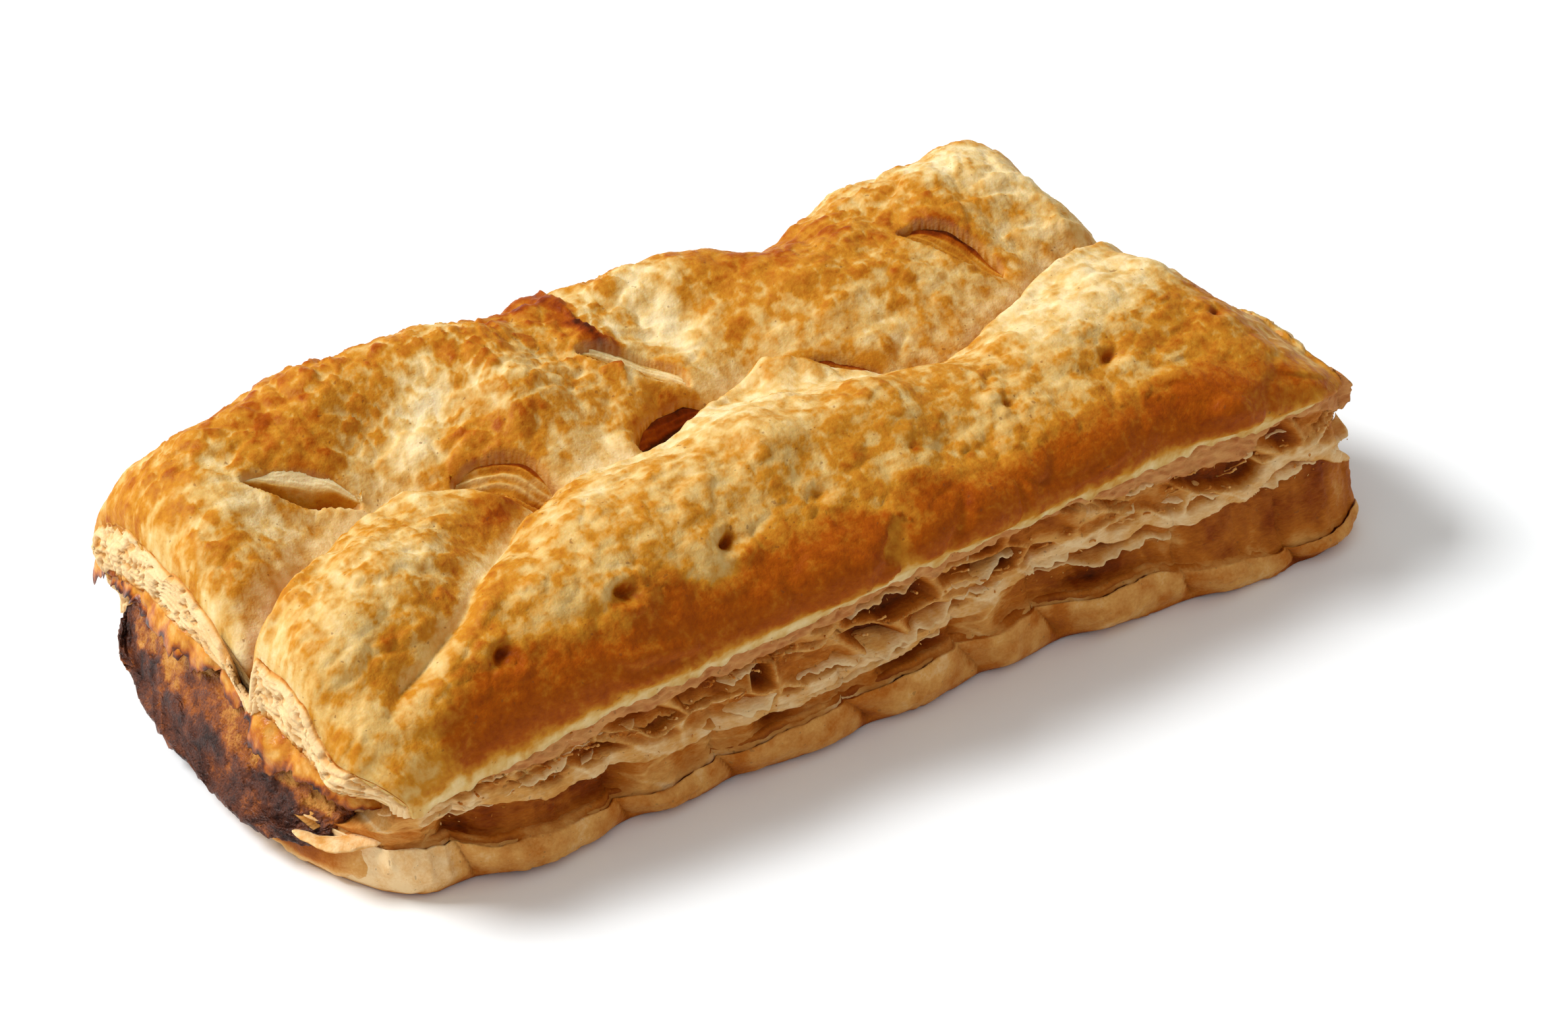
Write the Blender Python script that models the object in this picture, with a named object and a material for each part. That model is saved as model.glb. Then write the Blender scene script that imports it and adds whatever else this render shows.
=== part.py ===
"""A baked sausage roll: a sheet of puff pastry folded round a long sausage-meat filling.

The roll lies on its flat base along X. The cut end where the filling swells out is at -X,
the open seam with its flaky layers runs along -Y, and the fold is along +Y.
The origin is on the flat base, near its middle.
"""

import math

import bmesh
import bpy
import numpy as np

MM = 0.001

# ---------------------------------------------------------------- driving dimensions
LENGTH = 152 * MM  # of the crust, cut end to cut end
WIDTH = 73 * MM  # across the crust, seam to fold
HEIGHT = 34 * MM  # of the crust between its humps
LEFT_END = -78 * MM
RIGHT_END = LEFT_END + LENGTH
HALF_WIDTH = WIDTH / 2

# The crust
NEAR_ROUNDING, FAR_ROUNDING = 2.8, 4.2  # how square the two shoulders are: 2 is an ellipse
LIP_LEFT, LIP_RIGHT = 11.5 * MM, 22.5 * MM  # height of the crust's lower lip, left and right
LIP_WAVE, LIP_WAVE_LENGTH = 0.7 * MM, 22 * MM
FAR_FOOT = 2 * MM  # where the far wall turns under
CORNER_BACK = 6 * MM  # how far the near left corner is drawn back at the lip
FAR_END_BACK = 7 * MM  # how far the far half stops short at the right end
LEFT_ROUNDING = 7 * MM
NEAR_FALL = (20 * MM, 16 * MM, 8 * MM)  # before the right end: where the top starts to fall, over
FAR_FALL = (16 * MM, 9 * MM, 9 * MM)  # what length, and by how much
NEAR_BULGE, FAR_BULGE = 0.8 * MM, 1.2 * MM  # unevenness of the two walls

# The base sheet
BASE_TONGUE = 2.6 * MM  # how far it runs out past the crust's ends
BASE_PROUD = 2.0 * MM  # how far its rim stands out past the lip
BASE_WAIST, BASE_WAIST_AT, BASE_WAIST_REACH = 3.2 * MM, 14 * MM, 26 * MM  # its rim draws in here
BASE_CORNERS_NEAR = (15 * MM, 7 * MM)  # corner radii, left and right
BASE_CORNERS_FAR = (10 * MM, 8 * MM)
BASE_BOW = 1.2 * MM  # rounding of the rim under its upper edge
RIM_LEFT, RIM_RIGHT = 4.5 * MM, 6.5 * MM  # height of the rim
RIM_WAVE, RIM_WAVE_LENGTH = 0.8 * MM, 15 * MM
PINCH_DEPTH, PINCH_LENGTH = 0.9 * MM, 11 * MM  # dents along the rim

# The open seam between them
SEAM_RECESS = 4.5 * MM  # how deep the layers lie behind the lip
LAYER_DEPTH = 2.6 * MM  # how far single layers stand out
LAYERS = 3
LAYER_TIPS = 2 * MM  # how far single layers run out at the right end

# The filling
MEAT_HALF_WIDTH = 25 * MM
MEAT_HALF_HEIGHT = 8.5 * MM
MEAT_CENTRE = (2.5 * MM, 14.0 * MM)  # y and z of its middle
MEAT_OUT = 4.5 * MM  # how far it swells out of the left end
MEAT_END = RIGHT_END - 4 * MM
MEAT_SPREAD_LENGTH = 26 * MM  # over this length at the left end it is
MEAT_SPREAD = 4.0 * MM  # so much wider,
MEAT_SAG = 4.6 * MM  # so much lower
MEAT_THINNING = 1.8 * MM  # and so much thinner
MEAT_NOSE, MEAT_TAIL = 6 * MM, 2 * MM  # rounding of its two ends
MEAT_LUMP, MEAT_LUMP_SIZE = 0.6 * MM, 8 * MM
CLEARANCE = 0.35 * MM  # between the filling and the pastry

# ---------------------------------------------------------------- mesh sizes
STATIONS = 76  # along the roll
CRUST_COLUMNS = 40  # from the lip over the top to the far foot
SEAM_COLUMNS = 15
EDGE_COLUMNS = 5
BOTTOM_COLUMNS = 3
MEAT_STATIONS = 18
MEAT_SIDES = 32

# ---------------------------------------------------------------- relief of the crust
# Each hump: middle x, y, half lengths along and across, turn in degrees, height (mm).
HUMPS = (
    ("near_ridge_left", -36, -21, 22, 8, 8, 2.4),
    ("near_ridge_middle", 2, -17, 26, 9, 4, 3.5),
    ("near_ridge_right", 49, -13, 18, 10, 0, 5.5),
    ("near_nose", 51, -4, 9, 5, 0, 1.5),
    ("front_tab", -62, -13, 9, 8, 18, 2.0),
    ("corner_drop", -76, -33, 9, 9, 0, -2.0),
    ("back_tab", -68, 9, 7, 8, 0, 1.0),
    ("far_ridge", -46, 26, 24, 9, -4, 4.6),
    ("middle_pillow", -25, 11, 10, 6, -20, 2.0),
    ("tongue", 5, -3, 8, 6, -20, 2.0),
    ("far_pillow", 22, 12, 12, 9, 0, 1.5),
    ("far_right_hump", 47, 24, 14, 9, 0, 2.3),
    ("far_middle_ridge", -4, 27, 13, 6, 0, 2.6),
    ("right_shelf", 60, 8, 10, 8, 0, -1.0),
    ("saddle", 20, 31, 8, 9, 0, -5.0),
    ("torn_hollow", -4, 17, 6, 9, 0, -2.0),
    ("left_fall", -82, 30, 8, 12, 0, -2.5),
)
# The crease that winds down the middle of the top, from the left cut end to the right end (mm).
CREASE = (
    (-84, -9), (-75, -6), (-65, -1), (-57, 4), (-49, 6), (-42, 2), (-34, -5), (-24, -5), (-14, -4),
    (-4, 2), (6, 5), (13, -1), (21, -7), (30, -8), (38, -5), (45, -2), (54, 2), (64, 3), (80, 1),
)
CREASE_MOUTH = -7 * MM  # y of the crease at the left end
CREASE_DEPTH = 4.0 * MM
CREASE_WIDTH = 3.4 * MM
TAB_CUT_DEPTH = 5.0 * MM  # extra depth where the crease is cut through the left end
TAB_CUT_START, TAB_CUT_END = LEFT_END + 18 * MM, LEFT_END + 4 * MM
# The fold between the front tab and the near ridge (mm).
SIDE_FOLD = ((-73, -33), (-67, -30), (-58, -25), (-48, -17), (-41, -11), (-34, -7))
SIDE_FOLD_DEPTH = 2.4 * MM
SIDE_FOLD_WIDTH = 2.4 * MM
# Slits cut in the top and opened by the rise: middle x, y, half length, half width, turn, depth (mm).
SLITS = (
    ("slit_back_left", -60, 12.5, 7.0, 3.8, -32, 4.5),
    ("slit_middle_left", -35, 2.0, 6.5, 4.0, -34, 5.0),
    ("slit_back_middle", -7, 13, 7.5, 3.0, -48, 4.0),
    ("slit_middle", -8, -0.5, 7.0, 2.4, 18, 4.5),
    ("slit_middle_right", 16, -3.5, 7.0, 1.5, -40, 5.0),
    ("slit_back_right", 41, 10, 7.5, 4.0, -53, 4.5),
)
# The row of holes pricked along the near shoulder.
PRICK_START, PRICK_END = (-55 * MM, -30.5 * MM), (60 * MM, -23 * MM)
PRICK_COUNT = 8
PRICK_RADIUS = 1.7 * MM
PRICK_DEPTH = 1.6 * MM
PRICK_UNEVEN = 2 * MM
LUMP_HEIGHT, LUMP_SIZE = 0.9 * MM, 9 * MM


# ---------------------------------------------------------------- small helpers
def smooth(a, b, x):
    """0 below a, 1 above b, and a soft step between."""
    t = np.clip((x - a) / (b - a), 0, 1)
    return t * t * (3 - 2 * t)


def lattice(ix, iy, iz, seed):
    """A fixed random number from -1 to 1 for each whole-numbered point."""
    h = (ix * 374761393 + iy * 668265263 + iz * 2147483647 + seed * 1274126177) & 0xFFFFFFFF
    h = ((h ^ (h >> 13)) * 1103515245) & 0xFFFFFFFF
    h = ((h ^ (h >> 16)) * 2246822519) & 0xFFFFFFFF
    return (h ^ (h >> 15)) / 0x7FFFFFFF - 1.0


def noise(x, y, z, size, seed):
    """Soft value noise from about -1 to 1, with lumps of that size."""
    p = [np.asarray(c, float) / size for c in np.broadcast_arrays(x, y, z)]
    cell = [np.floor(c).astype(np.int64) for c in p]
    f = [c - i for c, i in zip(p, cell)]
    f = [c * c * c * (c * (c * 6 - 15) + 10) for c in f]
    total = 0.0
    for corner in range(8):
        step = [corner & 1, corner >> 1 & 1, corner >> 2 & 1]
        weight = 1.0
        for axis in range(3):
            weight = weight * (f[axis] if step[axis] else 1 - f[axis])
        total = total + weight * lattice(*(cell[a] + step[a] for a in range(3)), seed)
    return total


def turned(x, y, cx, cy, degrees):
    """x and y measured from a middle point, along and across a turned axis."""
    a = math.radians(degrees)
    dx, dy = x - cx, y - cy
    return dx * math.cos(a) + dy * math.sin(a), dy * math.cos(a) - dx * math.sin(a)


def path_distance(x, y, points):
    """Distance of each x, y from a path of points in mm."""
    nearest = np.full(np.shape(x), 1.0)
    for (ax, ay), (bx, by) in zip(points[:-1], points[1:]):
        ux, uy = (bx - ax) * MM, (by - ay) * MM
        t = np.clip(((x - ax * MM) * ux + (y - ay * MM) * uy) / (ux * ux + uy * uy), 0, 1)
        nearest = np.minimum(nearest, np.hypot(x - ax * MM - t * ux, y - ay * MM - t * uy))
    return nearest


def corner_inset(x, end, radius):
    """How far a rounded corner draws the side in, close to an end."""
    reach = np.clip(radius - np.abs(end - x), 0, radius)
    return radius - np.sqrt(np.maximum(radius * radius - reach * reach, 0))


def end_fall(x, before_end, length, drop):
    """How far the top has fallen at x, on its way down to the right end."""
    return drop * np.clip((x - RIGHT_END + before_end) / length, 0, 1) ** 1.5


# ---------------------------------------------------------------- the pastry's outer form
def along(x):
    """0 at the left end, 1 at the right end."""
    return np.clip((x - LEFT_END) / LENGTH, 0, 1)


def lip_height(x):
    """The crust's lower lip rises from the left end to the right end."""
    u = along(x)
    wave = LIP_WAVE * noise(x, 0, 0, LIP_WAVE_LENGTH, 5)
    return LIP_LEFT + (LIP_RIGHT - LIP_LEFT) * np.sqrt(u) * (1.25 - 0.25 * u) + wave


def rim_height(x):
    """The upper edge of the base sheet's rim."""
    return RIM_LEFT + (RIM_RIGHT - RIM_LEFT) * along(x) + RIM_WAVE * noise(x, 0, 0, RIM_WAVE_LENGTH, 6)


def valleys(x, y):
    """Depth of the crease, the side fold and the slits."""
    crease = np.exp(-((path_distance(x, y, CREASE) / CREASE_WIDTH) ** 2))
    out = (CREASE_DEPTH + TAB_CUT_DEPTH * smooth(TAB_CUT_START, TAB_CUT_END, x)) * crease
    out = out + SIDE_FOLD_DEPTH * np.exp(-((path_distance(x, y, SIDE_FOLD) / SIDE_FOLD_WIDTH) ** 2))
    for _, cx, cy, long, wide, turn, depth in SLITS:
        p, q = turned(x, y, cx * MM, cy * MM, turn)
        reach = np.hypot(p / (long * MM), q / (wide * MM))
        out = out + depth * MM * (1 - smooth(0.5, 1.15, reach))
    return out


def pricks(x, y):
    """Depth of the row of pricked holes."""
    out = 0.0
    for i in range(PRICK_COUNT):
        u = i / (PRICK_COUNT - 1)
        px = PRICK_START[0] + (PRICK_END[0] - PRICK_START[0]) * u + PRICK_UNEVEN * math.sin(7 * u)
        py = PRICK_START[1] + (PRICK_END[1] - PRICK_START[1]) * u
        out = out + PRICK_DEPTH * np.exp(-((np.hypot(x - px, y - py) / PRICK_RADIUS) ** 2))
    return out


def relief(x, y):
    """How far the top of the crust stands above its plain dome."""
    out = LUMP_HEIGHT * (noise(x, y, 0, LUMP_SIZE, 1) + 0.5 * noise(x, y, 0, LUMP_SIZE / 2, 2))
    for _, cx, cy, rx, ry, turn, height in HUMPS:
        p, q = turned(x, y, cx * MM, cy * MM, turn)
        out = out + height * MM * np.exp(-((p / (rx * MM)) ** 2) - (q / (ry * MM)) ** 2)
    return out - valleys(x, y) - pricks(x, y)


def crust(x, v):
    """The outer skin: v runs from the near lip, 0, over the top to the far foot, 1."""
    far_side = smooth(0.38, 0.55, v)
    power = NEAR_ROUNDING + (FAR_ROUNDING - NEAR_ROUNDING) * smooth(0.35, 0.65, v)
    side, rise = math.cos(math.pi * v), abs(math.sin(math.pi * v))
    radius = (abs(side) ** power + rise ** power) ** (-1 / power)
    side, rise = side * radius, rise * radius
    foot = lip_height(x) * (1 - smooth(0.35, 0.65, v)) + FAR_FOOT * smooth(0.35, 0.65, v)
    fall = end_fall(x, *NEAR_FALL) * (1 - far_side) + end_fall(x, *FAR_FALL) * far_side
    top = HEIGHT - fall - 0.75 * corner_inset(x, LEFT_END, LEFT_ROUNDING)
    half = HALF_WIDTH - 0.35 * (corner_inset(x, LEFT_END, 5 * MM) + corner_inset(x, RIGHT_END, 9 * MM))
    y, z = -half * side, foot + (top - foot) * rise
    # The relief pushes the dome out along its own normal, and fades towards the two lower edges.
    tilt = math.atan2(HEIGHT * abs(side) ** (power - 1), HALF_WIDTH * rise ** (power - 1))
    lift = relief(x, y) * smooth(0.0, 0.16, v) * (1 - smooth(0.80, 0.97, v))
    y = y - math.copysign(1, side) * lift * math.sin(tilt)
    z = z + lift * math.cos(tilt)
    near_wall = smooth(0.0, 0.08, v) * (1 - smooth(0.12, 0.30, v))
    far_wall = smooth(0.72, 0.82, v) * (1 - smooth(0.90, 1.0, v))
    y = y - NEAR_BULGE * near_wall * (1 + noise(x, 0, z, 14 * MM, 3))
    y = y + FAR_BULGE * far_wall * noise(x, 0, z, 16 * MM, 4)
    return y, z


def base_edge(x, w, side):
    """The base sheet's rim, near (-1) or far (+1): w is 0 at the floor, 1 at its upper edge."""
    left, right = LEFT_END - BASE_TONGUE, RIGHT_END + BASE_TONGUE
    if side < 0:
        top, reach, corners = rim_height(x), HALF_WIDTH + BASE_PROUD, BASE_CORNERS_NEAR
        reach = reach - BASE_WAIST * np.exp(-(((x - BASE_WAIST_AT) / BASE_WAIST_REACH) ** 2))
    else:
        top, reach, corners = FAR_FOOT + 0 * x, HALF_WIDTH, BASE_CORNERS_FAR
    corner = corner_inset(x, left, corners[0]) + corner_inset(x, right, corners[1])
    pinch = PINCH_DEPTH * np.abs(noise(x, 0, 0, PINCH_LENGTH, 11))
    bow = BASE_BOW * (1 - math.sqrt(2 * w - w * w))
    return side * (reach - corner * (1 - 0.6 * w) - bow - pinch * (1 - w)), top * w


def seam(x, w):
    """The open layers between the base sheet, w 0, and the crust's lip, w 1."""
    low, high = rim_height(x), lip_height(x)
    upper, _ = crust(x, 0.0)
    lower, _ = base_edge(x, 1.0, -1)
    uneven = 0.55 * noise(x, 0, 0, 17 * MM, 7) + 0.35 * noise(x, 0, w * 9 * MM, 7 * MM, 8)
    layer = np.abs(np.sin(math.pi * (LAYERS * w + uneven))) ** 0.7
    strength = np.clip(0.65 + 0.5 * noise(x, 0, w * 12 * MM, 11 * MM, 9), 0.15, 1.2)
    edge = smooth(0.0, 0.12, w) * (1 - smooth(0.86, 1.0, w))
    recess = (SEAM_RECESS - LAYER_DEPTH * layer * strength) * edge
    return lower + (upper - lower) * w + recess, low + (high - low) * w


def end_of(kind, value, end):
    """Where the left (-1) or right (+1) end lies for one column."""
    if kind == "crust":
        if end > 0:
            return RIGHT_END - FAR_END_BACK * smooth(0.38, 0.55, value)
        return LEFT_END + CORNER_BACK * (1 - smooth(0.0, 0.22, value))
    if kind == "seam":
        if end > 0:
            tips = LAYER_TIPS * math.sin(LAYERS * math.pi * value)
            return RIGHT_END + BASE_TONGUE * (1 - value) ** 2 + tips
        return LEFT_END - BASE_TONGUE + (CORNER_BACK + BASE_TONGUE) * math.sqrt(value)
    if end > 0:
        return RIGHT_END + (BASE_TONGUE if kind == "near" else 0)
    return LEFT_END - BASE_TONGUE * (1 if kind == "near" else 0.4)


# ---------------------------------------------------------------- building the pastry
def girth():
    """Names and places of the columns, once round the roll from the near floor edge."""
    columns = [("near", w) for w in np.linspace(0, 1, EDGE_COLUMNS)]
    columns += [("seam", w) for w in np.linspace(0, 1, SEAM_COLUMNS + 1)[1:]]
    columns += [("crust", v) for v in np.linspace(0, 1, CRUST_COLUMNS + 1)[1:]]
    columns += [("far", w) for w in (0.5, 0.0)]
    columns += [("floor", w) for w in np.linspace(1, 0, BOTTOM_COLUMNS + 2)[1:-1]]
    return columns


def column_points(kind, value, x):
    """The points of one column of the skin, from the left end to the right end."""
    if kind == "near":
        y, z = base_edge(x, value, -1)
    elif kind == "seam":
        y, z = seam(x, value)
    elif kind == "crust":
        y, z = crust(x, value)
    elif kind == "far":
        y, z = base_edge(x, value, 1)
    else:
        near, _ = base_edge(x, 0.0, -1)
        far, _ = base_edge(x, 0.0, 1)
        y, z = near + (far - near) * value, 0 * x
    return np.stack([x, y, z + 0 * x], axis=1)


def stations(start, end):
    """Places along the roll, a little closer together near both cut ends."""
    u = np.linspace(0, 1, STATIONS)
    return start + (end - start) * (u - 0.06 * np.sin(2 * math.pi * u))


def skin_points():
    """The closed skin as rings of points, one ring for each station."""
    rows = []
    for kind, value in girth():
        x = stations(end_of(kind, value, -1), end_of(kind, value, 1))
        rows.append(column_points(kind, value, x))
    return np.stack(rows, axis=1)


def tube_mesh(name, rings, left_tip, right_tip):
    """A closed mesh from rings of points, each end drawn to a tip point."""
    bm = bmesh.new()
    verts = [[bm.verts.new(p) for p in ring] for ring in rings]
    for a, b in zip(verts[:-1], verts[1:]):
        for j in range(len(a)):
            k = (j + 1) % len(a)
            bm.faces.new((a[j], a[k], b[k], b[j]))
    for ring, tip in ((verts[0], left_tip), (verts[-1], right_tip)):
        middle = bm.verts.new(tip)
        for j in range(len(ring)):
            bm.faces.new((ring[j], ring[(j + 1) % len(ring)], middle))
    bmesh.ops.recalc_face_normals(bm, faces=bm.faces)
    mesh = bpy.data.meshes.new(name)
    bm.to_mesh(mesh)
    bm.free()
    return mesh


def add_object(name, mesh, colour, roughness):
    """An object with its own plain material."""
    obj = bpy.data.objects.new(name, mesh)
    bpy.context.scene.collection.objects.link(obj)
    material = bpy.data.materials.new(name)
    material.use_nodes = True
    shader = material.node_tree.nodes["Principled BSDF"]
    shader.inputs["Base Color"].default_value = (*colour, 1)
    shader.inputs["Roughness"].default_value = roughness
    shader.inputs["Metallic"].default_value = 0
    mesh.materials.append(material)
    mesh.shade_smooth()
    return obj


# ---------------------------------------------------------------- building the filling
def meat_section(x, a, grow, rounded):
    """Points of the filling's cross-section at angles a, grown by a clearance."""
    left = corner_inset(x, LEFT_END - MEAT_OUT, MEAT_NOSE) / MEAT_NOSE
    right = corner_inset(x, MEAT_END, MEAT_TAIL) / MEAT_TAIL
    nose = (left + 0.3 * right) * rounded
    spread = smooth(LEFT_END + MEAT_SPREAD_LENGTH, LEFT_END, x)
    half_y = (MEAT_HALF_WIDTH + MEAT_SPREAD * spread) * (1 - 0.25 * nose)
    half_z = (MEAT_HALF_HEIGHT - MEAT_THINNING * spread) * (1 - 0.8 * nose)
    c, s = np.cos(a), np.sin(a)
    y = MEAT_CENTRE[0] + half_y * np.sign(c) * np.abs(c) ** 0.8
    droop = MEAT_SAG * spread + 0.25 * MEAT_NOSE * nose
    z = MEAT_CENTRE[1] - droop + half_z * np.sign(s) * np.abs(s) ** 0.85
    out = MEAT_LUMP * noise(x, 3 * a, 0, MEAT_LUMP_SIZE, 21) + grow
    return y + out * c, z + out * s


def meat_rings(xs, grow, rounded):
    """Rings of the filling; not rounded, its ends run on at full size."""
    a = np.linspace(0, 2 * math.pi, MEAT_SIDES, endpoint=False)
    rings = []
    for x in xs:
        y, z = meat_section(np.full(MEAT_SIDES, x), a, grow, rounded)
        rings.append(np.stack([np.full(MEAT_SIDES, x), y, z], axis=1))
    return np.array(rings)


def meat_stations():
    """Places along the filling, closer together at its swollen left end."""
    start, end = LEFT_END - MEAT_OUT, MEAT_END
    u = np.linspace(0, 1, MEAT_STATIONS)
    return start + (end - start) * (0.35 * u + 0.65 * u ** 3)


# ---------------------------------------------------------------- the roll
def main():
    for obj in list(bpy.data.objects):
        bpy.data.objects.remove(obj)

    left_tip = (LEFT_END, CREASE_MOUTH, MEAT_CENTRE[1] - MEAT_SAG)
    right_tip = (RIGHT_END, *MEAT_CENTRE)
    skin = tube_mesh("pastry", skin_points(), left_tip, right_tip)
    pastry = add_object("pastry", skin, (0.72, 0.42, 0.14), 0.55)

    xs = meat_stations()
    filling = meat_rings(xs, 0, True)
    meat = tube_mesh("sausage_meat", filling, filling[0].mean(0), filling[-1].mean(0))
    add_object("sausage_meat", meat, (0.22, 0.10, 0.05), 0.5)

    # The tunnel that holds it: the same form, grown by the clearance and run out at both ends.
    grown = meat_rings(np.append(xs, RIGHT_END + BASE_TONGUE), CLEARANCE, False)
    tunnel = tube_mesh("tunnel", grown, grown[0].mean(0), grown[-1].mean(0))
    cutter = add_object("tunnel", tunnel, (1, 1, 1), 1)
    cutter.hide_render = True
    cutter.display_type = "WIRE"
    cut = pastry.modifiers.new("tunnel", "BOOLEAN")
    cut.operation = "DIFFERENCE"
    cut.solver = "EXACT"
    cut.object = cutter


main()
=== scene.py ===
# %% [markdown]
# # A baked sausage roll
#
# The roll is a sheet of puff pastry folded round a slab of sausage meat, then slit, pricked, washed with egg
# and baked. This lesson dresses the plain model of it: first the camera, then the form, then one piece after
# another from the golden crust to the loose crumbs.
#
# The frame holds the plain solids. Each piece made here rides on the frame's one body.

import math

import bpy
import numpy as np
from mathutils import Matrix, Vector
from mathutils.bvhtree import BVHTree


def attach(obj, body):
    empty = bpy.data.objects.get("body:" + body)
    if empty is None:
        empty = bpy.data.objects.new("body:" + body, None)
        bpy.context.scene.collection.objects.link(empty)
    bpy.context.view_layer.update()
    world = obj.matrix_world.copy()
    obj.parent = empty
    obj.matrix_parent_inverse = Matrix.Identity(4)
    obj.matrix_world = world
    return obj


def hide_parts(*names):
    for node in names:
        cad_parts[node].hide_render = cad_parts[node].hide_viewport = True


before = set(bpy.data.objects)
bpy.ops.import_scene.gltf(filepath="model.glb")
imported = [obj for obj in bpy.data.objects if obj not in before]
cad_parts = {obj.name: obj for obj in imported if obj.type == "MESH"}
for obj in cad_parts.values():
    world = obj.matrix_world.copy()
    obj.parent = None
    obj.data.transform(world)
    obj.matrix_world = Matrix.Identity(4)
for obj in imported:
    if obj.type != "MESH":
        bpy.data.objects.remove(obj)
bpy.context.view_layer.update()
MM = 0.001

# %% [markdown]
# ## The camera
#
# A long lens from the front left, well above the roll, shows the top, the seam and the swollen cut end.
# Its place follows from two angles, a distance and the point of the frame where the target lies.

# %% Place the camera
FRAME_WIDTH = 2379
CAMERA_AZIMUTH, CAMERA_ELEVATION = math.radians(-34), math.radians(36)
CAMERA_DISTANCE = 780 * MM
FOCAL_PIXELS = 9000
TARGET = Vector((-2 * MM, -8 * MM, 15 * MM))
TARGET_PIXEL_X = 1150

back = Vector((
    math.sin(CAMERA_AZIMUTH) * math.cos(CAMERA_ELEVATION),
    -math.cos(CAMERA_AZIMUTH) * math.cos(CAMERA_ELEVATION),
    math.sin(CAMERA_ELEVATION),
))
right = Vector((0, 0, 1)).cross(back).normalized()
camera_data = bpy.data.cameras.new("camera")
camera_data.sensor_width = 36
camera_data.lens = camera_data.sensor_width * FOCAL_PIXELS / FRAME_WIDTH
camera_data.clip_start, camera_data.clip_end = 0.01, 10
camera = bpy.data.objects.new("camera", camera_data)
bpy.context.scene.collection.objects.link(camera)
side_step = (TARGET_PIXEL_X - FRAME_WIDTH / 2) / FOCAL_PIXELS * CAMERA_DISTANCE
turn = Matrix((right, back.cross(right), back)).transposed().to_4x4()
camera.matrix_world = Matrix.Translation(TARGET + back * CAMERA_DISTANCE - right * side_step) @ turn
bpy.context.scene.camera = camera
print("camera at", [round(c, 3) for c in camera.location], "lens", round(camera_data.lens, 1))

# %% [markdown]
# ## Noise
#
# Baked dough is uneven at every scale, so most shapes here are a plain form plus noise. Three kinds do the
# work: soft value noise, a sum of it at falling sizes, and cells, which give blisters and pores with a
# crease round each. Numbers hashed from whole-numbered points keep them the same on each run. Every call
# gives the size of the lumps and then a seed of its own.

# %% Noise functions
def smooth(a, b, x):
    """0 below a, 1 above b, and a soft step between."""
    t = np.clip((x - a) / (b - a), 0, 1)
    return t * t * (3 - 2 * t)


def bell(distance, reach):
    """1 in the middle, falling softly on both sides."""
    return np.exp(-((distance / reach) ** 2))


def lattice(ix, iy, iz, seed):
    """A fixed random number from -1 to 1 for each whole-numbered point."""
    h = (ix * 374761393 + iy * 668265263 + iz * 2147483647 + seed * 1274126177) & 0xFFFFFFFF
    h = ((h ^ (h >> 13)) * 1103515245) & 0xFFFFFFFF
    h = ((h ^ (h >> 16)) * 2246822519) & 0xFFFFFFFF
    return (h ^ (h >> 15)) / 0x7FFFFFFF - 1.0


def noise(x, y, z, size, seed):
    """Soft value noise from about -1 to 1, with lumps of that size."""
    p = [np.asarray(c, float) / size for c in np.broadcast_arrays(x, y, z)]
    cell = [np.floor(c).astype(np.int64) for c in p]
    f = [c - i for c, i in zip(p, cell)]
    f = [c * c * c * (c * (c * 6 - 15) + 10) for c in f]
    total = 0.0
    for corner in range(8):
        step = [corner & 1, corner >> 1 & 1, corner >> 2 & 1]
        weight = 1.0
        for axis in range(3):
            weight = weight * (f[axis] if step[axis] else 1 - f[axis])
        total = total + weight * lattice(*(cell[a] + step[a] for a in range(3)), seed)
    return total


def rough(x, y, z, size, seed, octaves=3):
    """A sum of noise at falling sizes, each octave turned so that no grid shows."""
    total, weight, share = 0.0, 1.0, 0.0
    for i in range(octaves):
        total = total + weight * noise(x, y, z, size, seed + i)
        share += weight
        x, y = 0.8 * x + 0.6 * y, 0.8 * y - 0.6 * x
        size, weight = size / 2.1, weight * 0.5
    return total / share


def cells(u, w, size, seed):
    """Distance to the nearest and second nearest of scattered points, and the nearest one's own number."""
    u, w = np.broadcast_arrays(np.asarray(u, float) / size, np.asarray(w, float) / size)
    cu, cw = np.floor(u).astype(np.int64), np.floor(w).astype(np.int64)
    first, second, own = np.full(u.shape, 9.0), np.full(u.shape, 9.0), np.zeros(u.shape)
    for du in (-1, 0, 1):
        for dw in (-1, 0, 1):
            iu, iw = cu + du, cw + dw
            pu = iu + 0.5 + 0.48 * lattice(iu, iw, 0 * iu, seed)
            pw = iw + 0.5 + 0.48 * lattice(iu, iw, 1 + 0 * iu, seed)
            d = np.hypot(u - pu, w - pw)
            nearer = d < first
            second = np.where(nearer, first, np.minimum(second, d))
            own = np.where(nearer, lattice(iu, iw, 2 + 0 * iu, seed), own)
            first = np.where(nearer, d, first)
    return first, second, own


def puff(u, w, size, seed):
    """Rounded swellings from 0 to 1, each of its own height, with a crease between neighbours."""
    bent = []
    for i, place in enumerate((u, w)):
        slow = noise(u, w, 0, 1.1 * size, seed + 50 + i)
        quick = noise(u, w, 0, 0.4 * size, seed + 52 + i)
        bent.append(place + 0.40 * size * slow + 0.15 * size * quick)
    first, second, own = cells(*bent, size, seed)
    round_top = np.clip(1.15 * (1 - first * first), 0, 1)
    return round_top * smooth(0.0, 0.30, second - first) * (0.55 + 0.45 * own)


print("noise at the origin:", round(float(noise(0.3, 0.2, 0.1, 1, 1)), 4))

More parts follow.
